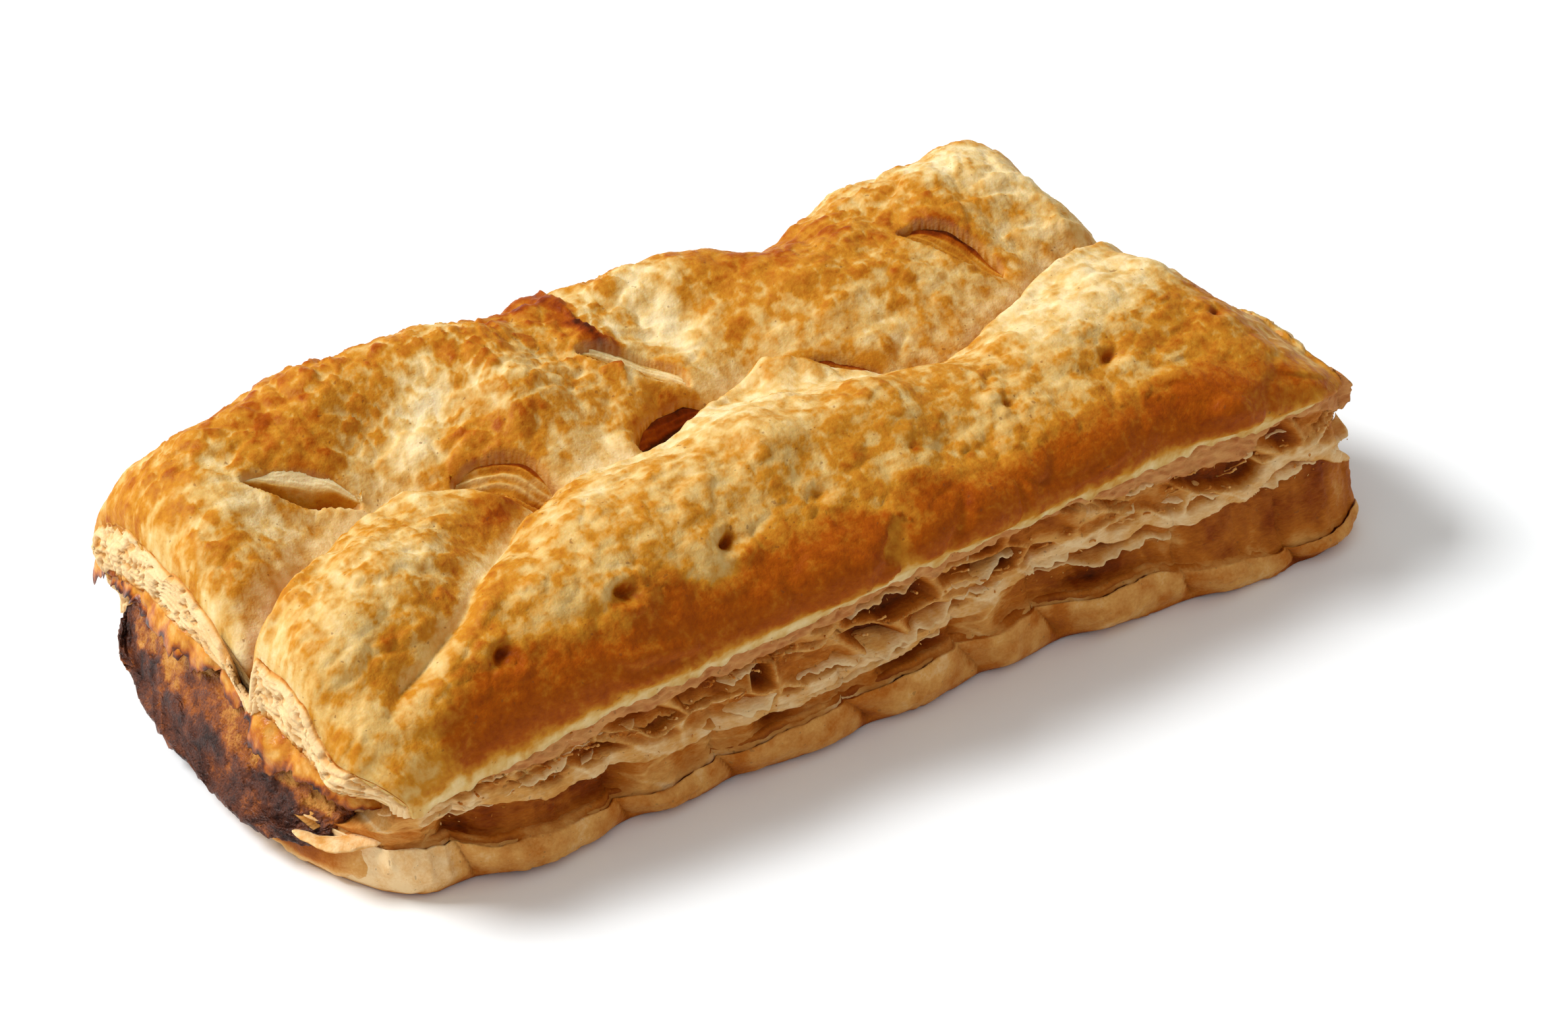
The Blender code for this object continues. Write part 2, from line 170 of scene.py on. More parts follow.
# %% [markdown]
# ## The form of the roll
#
# The crust is a low dome whose near shoulder is round and whose far shoulder is squarer. Hills, a winding
# crease, a fold, six slits and a row of pricked holes lie on it. The named sizes are the plain model's own,
# so the dressed pieces sit where its solids are.

# %% Sizes of the roll
LENGTH, WIDTH, HEIGHT = 152 * MM, 73 * MM, 34 * MM
LEFT_END = -78 * MM
RIGHT_END = LEFT_END + LENGTH
HALF_WIDTH = WIDTH / 2
NEAR_ROUNDING, FAR_ROUNDING = 2.8, 4.2
CREST, FAR_SIDE = (0.35, 0.65), (0.38, 0.55)  # shares of the way round where the far half takes over
LIP_LEFT, LIP_RIGHT = 11.5 * MM, 22.5 * MM
FAR_FOOT = 2 * MM
CORNER_BACK, FAR_END_BACK, FAR_FOOT_BACK = 6 * MM, 9.5 * MM, 5 * MM
LEFT_ROUNDING, LEFT_DROP = 10 * MM, 8 * MM
NEAR_FALL = (14 * MM, 13 * MM, 9.5 * MM)
FAR_FALL = (15 * MM, 9 * MM, 11 * MM)
BASE_TONGUE = 2.6 * MM
MEAT_CENTRE = (2.5 * MM, 14.0 * MM)

HUMPS = (  # middle x, y, half lengths along and across, turn in degrees, height, all but the turn in mm
    (-36, -21, 22, 8, 8, 2.4), (2, -17, 26, 9, 4, 3.5), (54, -14, 14, 9, 0, 1.2),
    (-62, -13, 9, 8, 18, 2.0), (-76, -33, 9, 9, 0, -2.0), (-68, 9, 7, 8, 0, 1.0),
    (-46, 26, 24, 9, -4, 4.6), (-25, 11, 10, 6, -20, 2.0), (3, -6, 9, 6, -20, -3.0),
    (22, -8, 12, 7, -5, -3.4), (22, 12, 12, 9, 0, 1.5), (47, 24, 14, 9, 0, 2.5), (6, 27, 12, 6, 0, 2.8),
    (64, -2, 10, 9, 0, -4.4), (20, 31, 8, 9, 0, -5.2), (-4, 17, 6, 9, 0, -1.0),
    (-78, 31, 10, 12, 0, -0.6), (-62, 32, 5, 9, 0, -1.4), (-11, 30, 8, 6, 0, 1.3),
    (-53, 32, 6, 8, 0, 1.5), (-30, 29, 7, 6, 0, 0.9), (16, 24, 5, 5, 0, 1.0), (61, 4, 6, 8, 0, 1.4),
    (70, -12, 6, 7, 0, -3.6), (63, 20, 4, 5, 0, -2.0), (60, 32, 7, 6, 0, 1.2),
    (-44, -12, 7, 6, -40, -3.0),
)
VALLEY = (  # x and depth in mm of the broad valley between the two ridges
    (-78, 2.0), (-68, 5.0), (-57, 6.0), (-42, 6.2), (-30, 5.8), (-10, 5.5), (10, 5.0), (25, 4.6),
    (42, 4.2), (56, 3.2), (66, 0.5),
)
VALLEY_MIDDLE, VALLEY_NEAR, VALLEY_FAR = 2.0, 6.0, 14.0  # from the crease, and its reach to each side
CREASE = (  # from the left cut end to the right end, in mm
    (-84, -9), (-75, -6), (-65, -1), (-57, 4), (-49, 6), (-42, 2), (-34, -5), (-24, -5), (-14, -4),
    (-4, 2), (6, 5), (13, -1), (21, -7), (30, -8), (38, -5), (45, -2), (54, 2), (64, 3), (80, 1),
)
SIDE_FOLD = ((-73, -33), (-67, -30), (-58, -25), (-48, -17), (-41, -11), (-34, -7))
PRICKS = [(-55 + 115 * i / 7 + 2 * math.sin(i), -30.5 + 7.5 * i / 7) for i in range(8)]
PRICK_STRENGTHS = (0.8, 1.0, 1.0, 0.5, 0.35, 0.4, 0.6, 0.5)


def turned(x, y, cx, cy, degrees):
    """x and y measured in mm from a middle point, along and across a turned axis."""
    a = math.radians(degrees)
    dx, dy = x / MM - cx, y / MM - cy
    return dx * math.cos(a) + dy * math.sin(a), dy * math.cos(a) - dx * math.sin(a)


def listed(x, places):
    """Values at x on straight lines between listed places in mm."""
    return np.interp(x / MM, *np.array(places).T)


def path_place(x, y, points):
    """Distance of each x, y from a path in mm, signed (+ on the path's left), and how far along the path."""
    x, y = x / MM, y / MM
    nearest, signed = np.full(np.shape(x), 1e3), np.zeros(np.shape(x))
    place, passed = 0.0 * x, 0.0
    for (ax, ay), (bx, by) in zip(points[:-1], points[1:]):
        ux, uy = bx - ax, by - ay
        length = math.hypot(ux, uy)
        t = np.clip(((x - ax) * ux + (y - ay) * uy) / length ** 2, 0, 1)
        d = np.hypot(x - ax - t * ux, y - ay - t * uy)
        nearer = d < nearest
        left = (ux * (y - ay) - uy * (x - ax)) >= 0
        signed = np.where(nearer, np.where(left, d, -d), signed)
        place = np.where(nearer, passed + t * length, place)
        nearest = np.minimum(nearest, d)
        passed += length
    return signed, place


def corner_inset(x, end, radius):
    """How far a rounded corner draws the side in, close to an end."""
    reach = np.clip(radius - np.abs(end - x), 0, radius)
    return radius - np.sqrt(np.maximum(radius * radius - reach * reach, 0))


def end_fall(x, before_end, length, drop):
    """How far the top has fallen at x, on its way down to the right end."""
    return drop * np.clip((x - RIGHT_END + before_end) / length, 0, 1) ** 1.5


def lip_height(x):
    """The crust's lower lip rises from the left end to the right end."""
    u = np.clip((x - LEFT_END) / LENGTH, 0, 1)
    wave = 0.7 * MM * noise(x, 0, 0, 22 * MM, 5)
    return LIP_LEFT + (LIP_RIGHT - LIP_LEFT) * np.sqrt(u) * (1.25 - 0.25 * u) + wave


def dome(x, v):
    """The plain crust at v, from the near lip, 0, to the far foot, 1, and its outward direction."""
    far = smooth(*CREST, v)
    power = NEAR_ROUNDING + (FAR_ROUNDING - NEAR_ROUNDING) * far
    side, rise = np.cos(math.pi * v), np.abs(np.sin(math.pi * v))
    radius = (np.abs(side) ** power + rise ** power) ** (-1 / power)
    side, rise = side * radius, rise * radius
    foot = lip_height(x) * (1 - far) + FAR_FOOT * far
    far_side = smooth(*FAR_SIDE, v)
    fall = end_fall(x, *NEAR_FALL) * (1 - far_side) + end_fall(x, *FAR_FALL) * far_side
    top = HEIGHT - fall - LEFT_DROP / LEFT_ROUNDING * corner_inset(x, LEFT_END, LEFT_ROUNDING)
    half = HALF_WIDTH - 0.35 * (corner_inset(x, LEFT_END, 5 * MM) + corner_inset(x, RIGHT_END, 9 * MM))
    tilt = np.arctan2(HEIGHT * np.abs(side) ** (power - 1), HALF_WIDTH * rise ** (power - 1))
    return -half * side, foot + (top - foot) * rise, -np.sign(side) * np.sin(tilt), np.cos(tilt)


def end_left(v):
    """x of the left cut end, drawn in at the near corner and at the far foot."""
    return LEFT_END + CORNER_BACK * (1 - smooth(0.0, 0.22, v)) + FAR_FOOT_BACK * smooth(0.80, 1.0, v)


def end_right(v):
    """x of the right cut end, drawn in on the far side."""
    return RIGHT_END - FAR_END_BACK * smooth(*FAR_SIDE, v)


print("crest of the plain dome:", round(float(dome(0.0, np.array(0.5))[1]) / MM, 1), "mm")

# %% [markdown]
# ## The slits and the creases
#
# A slit is not a round dent. Its near edge drops straight into a dark gap, the cut face behind the gap shows
# the raw layers and leans back up, and the far lip stands over it, browned. Each slit here gets that section,
# from its own list of place, size and look.

# %% Slits, crease, fold and pricks
# Middle x, y, half length, half width, turn, depth of the hollow under it, its darkness (mm, degrees, 0-1).
# The darkness is the layers' own brown and painted shade in the hollow, and it also browns the far lip more.
SLITS = (
    (-58.5, 13.0, 7.8, 2.0, -24, 4.0, 0.30),
    (-34.5, 1.4, 7.4, 2.9, -36, 4.2, 0.55),
    (-8.5, 12.0, 7.8, 2.0, -38, 3.6, 0.40),
    (-8.5, 1.4, 7.6, 2.5, 14, 5.0, 1.0),
    (16.5, -1.2, 7.2, 1.8, -38, 3.8, 0.9),
    (41.0, 9.5, 7.6, 2.6, -50, 3.8, 0.62),
)
SLIT_FRONT, SLIT_REAR = 0.55, 1.45


def slit_relief(x, y):
    """Depth in mm of the hollows under the slits, share of inside, its darkness as brown and painted shade,
    and browning round it.
    """
    depth, inside, dark, browned = 0.0 * x, 0.0 * x, 0.0 * x, 0.0 * x
    for number, (cx, cy, long, wide, turn, deep, darkness) in enumerate(SLITS):
        p, q = turned(x, y, cx, cy, turn)
        q = q + 0.35 * noise(x, y, 0, 2.5 * MM, 40 + number) + 0.4 * noise(x, y, 0, 6 * MM, 48 + number)
        room = np.clip(1 - (p / long) ** 2, 0, 1) ** 0.7
        front, rear = -SLIT_FRONT * wide * room, SLIT_REAR * wide * room
        here = smooth(front - 0.5, front + 0.6, q) * (1 - smooth(rear - 0.8, rear + 0.4, q))
        here = here * smooth(0.0, 0.15, room)
        depth = depth + deep * np.sqrt(room) * here
        inside = np.maximum(inside, here)
        dark = np.where(here > 0.2, darkness, dark)
        beside = np.exp(-((p / long) ** 4))
        swollen = bell(q - front + 1.5, 1.3) * beside
        lip = bell(q - rear - 1.8, 2.3) * beside
        depth = depth - 0.5 * swollen - 0.5 * lip
        edge = bell(q - rear - 0.3, 1.3) * beside
        browned = browned + (0.30 * lip + 0.42 * edge) * (0.5 + 0.5 * darkness) + 0.1 * swollen
    return depth, inside, dark, browned


def fold_depth(d, reach, power):
    """Depth of a fold from 0 to 1: gentle on its path's left, where d is above 0, and steep on the right."""
    away = np.abs(d)
    return np.where(d > 0, np.exp(-((away / reach) ** power)), np.exp(-(away ** 1.3)))


def crease_relief(x, y):
    """Depth in mm of the crease and the side fold, the share of raw dough in them, and their painted shade
    and browning.
    """
    d, place = path_place(x, y, CREASE)
    d = d + 0.7 * noise(x, y, 0, 4.5 * MM, 31) + 0.3 * noise(x, y, 0, 1.9 * MM, 35)
    cut = smooth(-60, -74, x / MM)
    depth = (4.4 + 1.2 * noise(place * MM, 0, 0, 12 * MM, 32) + 5 * cut) * fold_depth(d, 4.2, 1.1)
    depth = depth - 1.1 * bell(d + 2.6, 1.6)
    raw = 0.7 * bell(d - 1.9, 1.7) * smooth(-0.2, 0.5, noise(place * MM, 0, 0, 11 * MM, 33))
    # The crease's bottom is painted darker as shade, most in the deep V at the cut end.
    shade_and_browning = 0.5 * bell(d, 1.2) * smooth(0.0, 0.6, noise(place * MM, 0, 0, 16 * MM, 36) + cut)
    d, place = path_place(x, y, SIDE_FOLD)
    d = d + 0.5 * noise(x, y, 0, 4 * MM, 34)
    depth = depth + 3.2 * fold_depth(d, 3.4, 1.2) * smooth(0, 8, place)
    raw = np.maximum(raw, 0.9 * bell(d - 0.7, 1.3) * smooth(4, 12, place))
    shade_and_browning = shade_and_browning + 0.34 * bell(d - 4.5, 2.6) * smooth(2, 8, place)
    return depth, raw, shade_and_browning


def prick_relief(x, y):
    """Depth in mm of the pricked holes, each with a puffy rim."""
    depth = 0.0 * x
    for number, ((px, py), strength) in enumerate(zip(PRICKS, PRICK_STRENGTHS)):
        away = np.hypot((x / MM - px) * 0.85, (y / MM - py) * 1.2)
        away = away + 0.5 * noise(x, y, 0, 1.3 * MM, 60 + number)
        hole = 0.7 * bell(away, 1.9) + 1.5 * bell(away, 0.75)
        depth = depth + strength * (hole - 0.55 * bell(away - 2.4, 0.9))
    return depth


print(len(SLITS), "slits and", len(PRICKS), "pricked holes")

# %% [markdown]
# ## How brown it is
#
# An oven browns what stands out and what faces the heat. The band above the lip, the crests of the far ridge
# and the far lips of the slits are darkest; creases and stretched dough stay cream. One number for each
# point, from 0 for raw to 1 for burnt, is worked out here and later turned into colour by the material. The
# same number also carries painted shade, on slopes that face the front, in the crease and in the pricked
# holes.

# %% Browning of the crust
TOASTED = (  # middle x, y, half lengths, turn, amount
    (-14, 31, 9, 5, 20, 0.52), (-11, 23, 3.5, 7, -10, 0.46), (0, 33, 7, 3, 0, 0.22),
    (-40, 33, 22, 4, 0, 0.20), (-9, 17, 4, 3.5, -20, 0.36), (-74, 22, 7, 7, 0, 0.14),
    (-73, 6, 5, 5, 0, 0.22), (-50, -20, 9, 3.6, 38, 0.34), (-41, -8, 4, 3.5, 20, 0.30),
    (-66, -26, 6, 3, 30, 0.10), (-34, 12, 8, 3, -30, 0.20), (-31, 7.5, 6, 2.4, -30, 0.30),
    (-24, 10, 4, 3, -30, 0.22), (56, -22, 9, 6, 0, 0.22), (66, -18, 8, 8, 0, 0.16),
    (50, 31, 8, 4, 0, 0.12), (36, 15, 7, 3, 0, 0.10), (30, -22, 5, 4, 0, 0.12),
    (-55, 21, 7, 2.5, -25, 0.12), (-63, 30, 8, 5, 10, 0.04), (-20, 24, 7, 5, 30, 0.16),
    (-28, 20, 4, 4, 0, 0.10), (10, -22, 8, 5, 0, 0.14), (0, -26, 3, 4, 0, 0.22),
    (-45, 24, 28, 9, -4, 0.35), (22, 19, 16, 10, 0, 0.48), (36, 26, 14, 8, 0, 0.04),
    (2, -15, 24, 5, 3, 0.08), (-12, 32, 16, 5, 0, 0.10),
)
PALE = (  # the same columns, taken away
    (-39, 16, 8, 4, 42, 0.42), (0, 18, 4.5, 8, -15, 0.30), (14, 16, 9, 6, 0, 0.06),
    (30, 16, 7, 7, 0, 0.12), (50, 26, 12, 9, 0, 0.14), (2, -8, 22, 6, 3, 0.12), (44, -4, 12, 5, 0, 0.12),
    (-36, -16, 12, 4, 8, 0.06), (-22, -2, 7, 3, 0, 0.20), (20, 4, 7, 4, 0, 0.14),
    (-68, 18, 5, 4, 0, 0.10), (56, 14, 8, 8, 0, 0.06), (-28, 28, 4, 3, 0, 0.14),
    (-62, -14, 9, 7, 20, 0.10), (54, -12, 14, 7, 0, 0.14), (-52, 4, 5, 5, 0, 0.10),
    (-70, 8, 7, 9, 0, 0.12),
)
BLISTERED = (  # where the blisters stand higher, in the same columns
    (-45, 26, 26, 9, -4, 0.75), (-10, 28, 14, 8, 0, 0.6), (-24, 12, 9, 6, -20, 0.6),
    (-62, 0, 12, 8, 0, 0.25), (-62, -14, 10, 8, 10, 0.35), (50, 24, 12, 9, 0, 0.35),
    (10, -16, 60, 8, 2, -0.05), (14, 16, 10, 8, 0, -0.35),
)
# A torn edge of the upper skin behind the middle, and one on the near wall (y is the way up from the lip).
TORN_EDGE = ((-13, 35), (-10.5, 29), (-11, 23), (-9, 17), (-10, 13))
WALL_EDGE = ((-6, -1), (-0.5, 3), (-2.5, 6), (1.5, 10), (-4, 14))


def patches(x, y, z, places, seed):
    """A sum of soft, uneven patches."""
    total = 0.0 * x
    for number, (cx, cy, rx, ry, turn, amount) in enumerate(places):
        p, q = turned(x, y, cx, cy, turn)
        reach = (p / rx) ** 2 + (q / ry) ** 2
        total = total + amount * np.exp(-reach * (1 + 0.5 * noise(x, y, z, 4 * MM, seed + number)))
    return total


# %% [markdown]
# ## Blisters
#
# Steam lifts the washed skin into blisters about five millimetres wide, with two smaller sizes between them.
# Cells give each blister its own height and a crease at its edge. The ridges have most of them, and the wall
# above the lip is nearly smooth.

# %% The crust's whole surface
BLISTERS = ((5.2, 1.25), (2.6, 1.15), (1.35, 1.0))  # width in mm, and how far drawn out along the roll
USUAL_HEIGHT = 0.4  # of a swelling that reaches from 0 to 1
PLAIN_BROWN, BAND_BROWN, FAR_BROWN = 0.39, 0.33, 0.18
BROWN_LIMIT, EDGE_LIMIT, PAST_LIMIT = 0.57, 0.14, 0.40
# The least browning on slopes that face the front: a painted warm shade.
FRONT_SHADE_BROWN = 0.42


def torn_step(d, height, reach):
    """A raised skin beside a torn edge, thinning away from it, and where the edge is browner and paler."""
    raised = height * smooth(-0.35, 0.35, d) * np.exp(-np.clip(d, 0, None) / reach)
    return raised, bell(d - 1.2, 1.3), bell(d + 1.6, 2.2)


def torn_edges(x, y, v, along_skin):
    """The skin's two torn edges: their height in mm, the line along the upper one, and their browning."""
    d, place = path_place(x, y, TORN_EDGE)
    d = -d + 0.9 * noise(x, y, 0, 2.4 * MM, 23) + 0.4 * noise(x, y, 0, 1.1 * MM, 24)
    near_edge = smooth(0.52, 0.60, v) * smooth(1, 4, place) * smooth(8, 4, np.abs(d))
    raised, brown, pale = torn_step(d, 1.1, 5.0)
    step, line = raised * near_edge, brown * near_edge
    browning = 0.30 * line - 0.34 * pale * near_edge
    d, _ = path_place(x, along_skin, WALL_EDGE)
    d = d + 0.8 * noise(x, along_skin, 0, 2.0 * MM, 27) + 0.3 * noise(x, along_skin, 0, 0.9 * MM, 28)
    on_wall = smooth(0.24, 0.16, v) * smooth(9, 5, np.abs(d))
    raised, brown, pale = torn_step(d, 0.8, 6.0)
    return step + raised * on_wall, line, browning + (0.10 * brown - 0.20 * pale) * on_wall


def blister_relief(x, y, v, along_skin, strong, calm, inside):
    """Height in mm of the blistered skin, and its three sizes of swellings from 0 to 1."""
    wall = 1 - smooth(0.155, 0.215, v + 0.012 * noise(x, y, 0, 7 * MM, 25))
    calm = calm * (1 - 0.80 * wall) * (1 - 0.9 * inside)
    puffs = [puff(x / drawn, along_skin, size * MM, 13 + i) for i, (size, drawn) in enumerate(BLISTERS)]
    large, middle, small = (p - USUAL_HEIGHT for p in puffs)
    patchy = 0.55 + 0.75 * smooth(-0.4, 0.5, noise(x, y, 0, 9 * MM, 16))
    blister = (0.62 * large + (0.34 * middle + 0.20 * small) * patchy) * strong * calm
    ripple = 0.22 * noise(0.6 * x + 0.5 * along_skin, along_skin - 0.3 * x, 0, 1.9 * MM, 17)
    ripple = ripple * (1 - inside) * calm
    swelling = 0.8 * puff(x / 1.5, along_skin, 8 * MM, 18) * wall * smooth(0.01, 0.06, v)
    swelling = swelling + 0.12 * rough(x, along_skin, 0, 2.4 * MM, 29) * wall
    return blister + ripple + swelling, puffs


def crust_surface(x, v, along_skin):
    """Points of the crust and its marks. along_skin is the distance round it, so blisters stay round."""
    y, z, out_y, out_z = dome(x, v)
    swell = 0.9 * MM * (noise(x, y, 0, 9 * MM, 1) + 0.5 * noise(x, y, 0, 4.5 * MM, 2))
    for cx, cy, rx, ry, turn, height in HUMPS:
        p, q = turned(x, y, cx, cy, turn)
        swell = swell + height * MM * np.exp(-((p / rx) ** 2) - (q / ry) ** 2)
    off = path_place(x, y, CREASE)[0] - VALLEY_MIDDLE
    valley = listed(x, VALLEY) * bell(off, np.where(off > 0, VALLEY_FAR, VALLEY_NEAR))
    swell = swell - valley * MM
    slit, inside, dark, lip_brown = slit_relief(x, y)
    crease, raw, crease_shade_and_brown = crease_relief(x, y)
    prick = prick_relief(x, y)
    on_top = smooth(0.0, 0.16, v) * (1 - smooth(0.80, 0.97, v))
    tear = rough(x, 0, 0, 2.2 * MM, 19, 4)

    far_wall = smooth(0.78, 0.86, v)
    strong = np.clip(0.62 + patches(x, y, z, BLISTERED, 26), 0.2, 1.5)
    steep = smooth(0.8, 2.6, crease)
    calm = (1 - 0.6 * np.clip(raw, 0, 1)) * (1 - 0.7 * steep) * (1 - 0.45 * far_wall)
    blister, puffs = blister_relief(x, y, v, along_skin, strong, calm, inside)
    step, edge_line, edge_browning = torn_edges(x, y, v, along_skin)

    lift = swell - (slit + crease + prick) * MM
    y = y + out_y * lift * on_top
    z = z + out_z * lift * on_top
    skin = (blister + step) * MM * smooth(0.0, 0.03, v)
    y, z = y + out_y * skin, z + out_z * skin
    near_bulge = smooth(0.0, 0.08, v) * (1 - smooth(0.12, 0.30, v))
    far_bulge = smooth(0.72, 0.82, v) * (1 - smooth(0.90, 1.0, v))
    y = y - 0.8 * MM * near_bulge * (1 + noise(x, 0, z, 14 * MM, 3))
    y = y + 1.2 * MM * far_bulge * noise(x, 0, z, 16 * MM, 4)
    # The near lip is ragged where the skin tore away from the layers below it.
    shreds = 0.7 * tear + 0.35 * noise(x, 0, 0, 1.3 * MM, 37) + 0.5 * noise(x, 0, 0, 3.1 * MM, 39)
    z = z + (1 - smooth(0.0, 0.035, v)) * 0.9 * MM * shreds

    band_top = smooth(0.16, 0.27, v + 0.035 * noise(x, y, 0, 8 * MM, 20))
    band = smooth(0.015, 0.09, v + 0.01 * tear) * (1 - band_top)
    band = band * smooth(-76 * MM, -58 * MM, x) * (1 - 0.55 * smooth(50 * MM, 74 * MM, x))
    uneven = 1 + 0.36 * rough(x, along_skin, 0, 12 * MM, 21) + 0.14 * rough(x, along_skin, 0, 2.6 * MM, 39)
    browning_and_shade = PLAIN_BROWN + BAND_BROWN * band * uneven + FAR_BROWN * far_wall
    top = (1 - 0.85 * band) * (1 - inside)
    mottle = smooth(-0.4, 0.4, rough(x, y, z, 1.6 * MM, 30)) - 0.5
    browning_and_shade = browning_and_shade + 0.07 + top * (0.18 * mottle + 0.17 * rough(x, y, z, 8 * MM, 22))
    shown = top * strong * (1 - 0.8 * steep)
    for amount, swelling in zip((0.10, 0.14, 0.12), puffs):
        browning_and_shade = browning_and_shade + shown * amount * (swelling - USUAL_HEIGHT)
    browning_and_shade = browning_and_shade + patches(x, y, z, TOASTED, 70) * (0.60 + 0.5 * puffs[1]) - patches(x, y, z, PALE, 90)
    browning_and_shade = browning_and_shade + edge_browning + lip_brown * 0.45 + crease_shade_and_brown * 0.7 - 0.30 * raw
    # Past a limit the skin browns more slowly. Slopes that face the front, away from the lamp, get a painted
    # warm shade that keeps them from going pale, and the pricked holes are painted darker as shade.
    limit = BROWN_LIMIT + EDGE_LIMIT * np.clip(band + edge_line, 0, 1)
    browning_and_shade = np.where(browning_and_shade > limit, limit + PAST_LIMIT * (browning_and_shade - limit), browning_and_shade) + 0.16 * np.clip(prick, 0, 1.5)
    front_facing_shade = smooth(0.10, 0.55, -out_y) * (1 - inside)
    browning_and_shade = browning_and_shade + 0.7 * front_facing_shade * np.clip(FRONT_SHADE_BROWN - browning_and_shade, 0, 1)
    fringe = 0.030 + 0.035 * smooth(-0.6, 0.6, noise(x, 0, 0, 3 * MM, 38) + 0.5 * shreds)
    browning_and_shade = browning_and_shade - 0.13 * (1 - smooth(0.1 * fringe, 1.3 * fringe, v))
    return y, z, {"browning_and_shade": np.clip(browning_and_shade, 0, 1), "inside": inside, "dark": np.clip(dark, 0, 1)}


# %% [markdown]
# ## Building meshes from arrays
#
# NumPy makes the points, and one helper turns a grid of them into a mesh. A tube is a grid closed round its
# girth with its two ends filled, a slab is a front grid and a back grid joined along their edges. Both come
# out closed. The sign of the volume tells whether the faces point outwards.

# %% Mesh helpers
def make_mesh(name, points, faces, marks, material):
    """An object from points, faces of any size and a dictionary of one number for each point."""
    mesh = bpy.data.meshes.new(name)
    mesh.from_pydata(points.reshape(-1, 3).tolist(), [], faces)
    for mark, values in marks.items():
        attribute = mesh.attributes.new(mark, "FLOAT", "POINT")
        attribute.data.foreach_set("value", np.asarray(values, np.float32).ravel())
    corners = np.zeros(len(mesh.vertices) * 3)
    mesh.vertices.foreach_get("co", corners)
    corners = corners.reshape(-1, 3)
    mesh.calc_loop_triangles()
    triangles = np.zeros(len(mesh.loop_triangles) * 3, np.int32)
    mesh.loop_triangles.foreach_get("vertices", triangles)
    a, b, c = (corners[triangles[i::3]] for i in range(3))
    if np.einsum("ij,ij->i", a, np.cross(b, c)).sum() < 0:
        mesh.flip_normals()
    mesh.shade_smooth()
    mesh.materials.append(material)
    obj = bpy.data.objects.new(name, mesh)
    bpy.context.scene.collection.objects.link(obj)
    print(f"{name}: {len(triangles) // 3} triangles")
    return obj


def grid_quads(rows, columns, wrap=False, start=0):
    """Corner numbers of a grid's quads."""
    i = np.arange(rows - 1)[:, None]
    j = np.arange(columns if wrap else columns - 1)[None, :]
    k = (j + 1) % columns
    below, above = start + i * columns, start + (i + 1) * columns
    quads = np.broadcast_arrays(below + j, below + k, above + k, above + j)
    return np.stack(quads, axis=-1).reshape(-1, 4).tolist()


def arch_fill(outer_count, columns, start, turn):
    """Triangles across one end of a ring whose last columns run back under its first ones."""
    outer = list(range(outer_count))
    inner = [0] + list(range(columns - 1, outer_count - 1, -1)) + [outer_count - 1]
    i, j, faces = 0, 0, []
    while i < len(outer) - 1 or j < len(inner) - 1:
        if j == len(inner) - 1 or (i < len(outer) - 1 and (i + 1) / len(outer) <= (j + 1) / len(inner)):
            face = [outer[i], outer[i + 1], inner[j]]
            i += 1
        else:
            face = [outer[i], inner[j + 1], inner[j]]
            j += 1
        if len(set(face)) == 3:
            faces.append([start + k for k in (face if turn else face[::-1])])
    return faces


def tube(name, points, marks, material, arch=0):
    """A closed mesh from rings of points, with its ends filled by one face, or along an arch's two sides."""
    rows, columns = points.shape[:2]
    faces = grid_quads(rows, columns, wrap=True)
    last = (rows - 1) * columns
    if arch:
        faces += arch_fill(arch, columns, 0, False) + arch_fill(arch, columns, last, True)
    else:
        faces += [list(range(columns))[::-1], [last + j for j in range(columns)]]
    return make_mesh(name, points, faces, marks, material)


def slab(name, front, rear, marks, material):
    """A closed mesh between two grids of points of the same size."""
    rows, columns = front.shape[:2]
    count = rows * columns
    faces = grid_quads(rows, columns)
    faces += [f[::-1] for f in grid_quads(rows, columns, start=count)]
    edge = [(0, j) for j in range(columns)] + [(i, columns - 1) for i in range(1, rows)]
    edge += [(rows - 1, j) for j in range(columns - 2, -1, -1)] + [(i, 0) for i in range(rows - 2, 0, -1)]
    loop = [i * columns + j for i, j in edge]
    for a, b in zip(loop, loop[1:] + loop[:1]):
        faces.append([b, a, a + count, b + count])
    points = np.concatenate([front.reshape(-1, 3), rear.reshape(-1, 3)])
    both = {mark: np.concatenate([np.ravel(values)] * 2) for mark, values in marks.items()}
    return make_mesh(name, points, faces, both, material)


def dough_marks(browning_and_shade, pink=0.0):
    """The marks of raw and torn dough: how browned, with painted shade in hollows and pores, and how stained
    by the filling.
    """
    return {"browning_and_shade": np.clip(browning_and_shade, 0, 1), "pink": pink + 0 * browning_and_shade}


def spread(*parts):
    """Arrays brought to one shape and stacked as points."""
    return np.stack(np.broadcast_arrays(*parts), axis=-1)


# %% [markdown]
# ## The finishes
#
# Every dough surface shares one idea: a colour ramp from raw cream through gold and orange-brown to burnt,
# read at the point's own browning, with finer noise added so that no colour is flat. In hollows, gaps and
# slopes that face the front, the same number also carries painted shade. Egg wash makes the browned skin
# glossier than raw dough, and fine bumps break the highlight.

# %% Material helpers
SOFT_DEPTH, SOFT_COLOURS = 1.3 * MM, (1.0, 0.45, 0.2)  # how far light goes into dough, red furthest


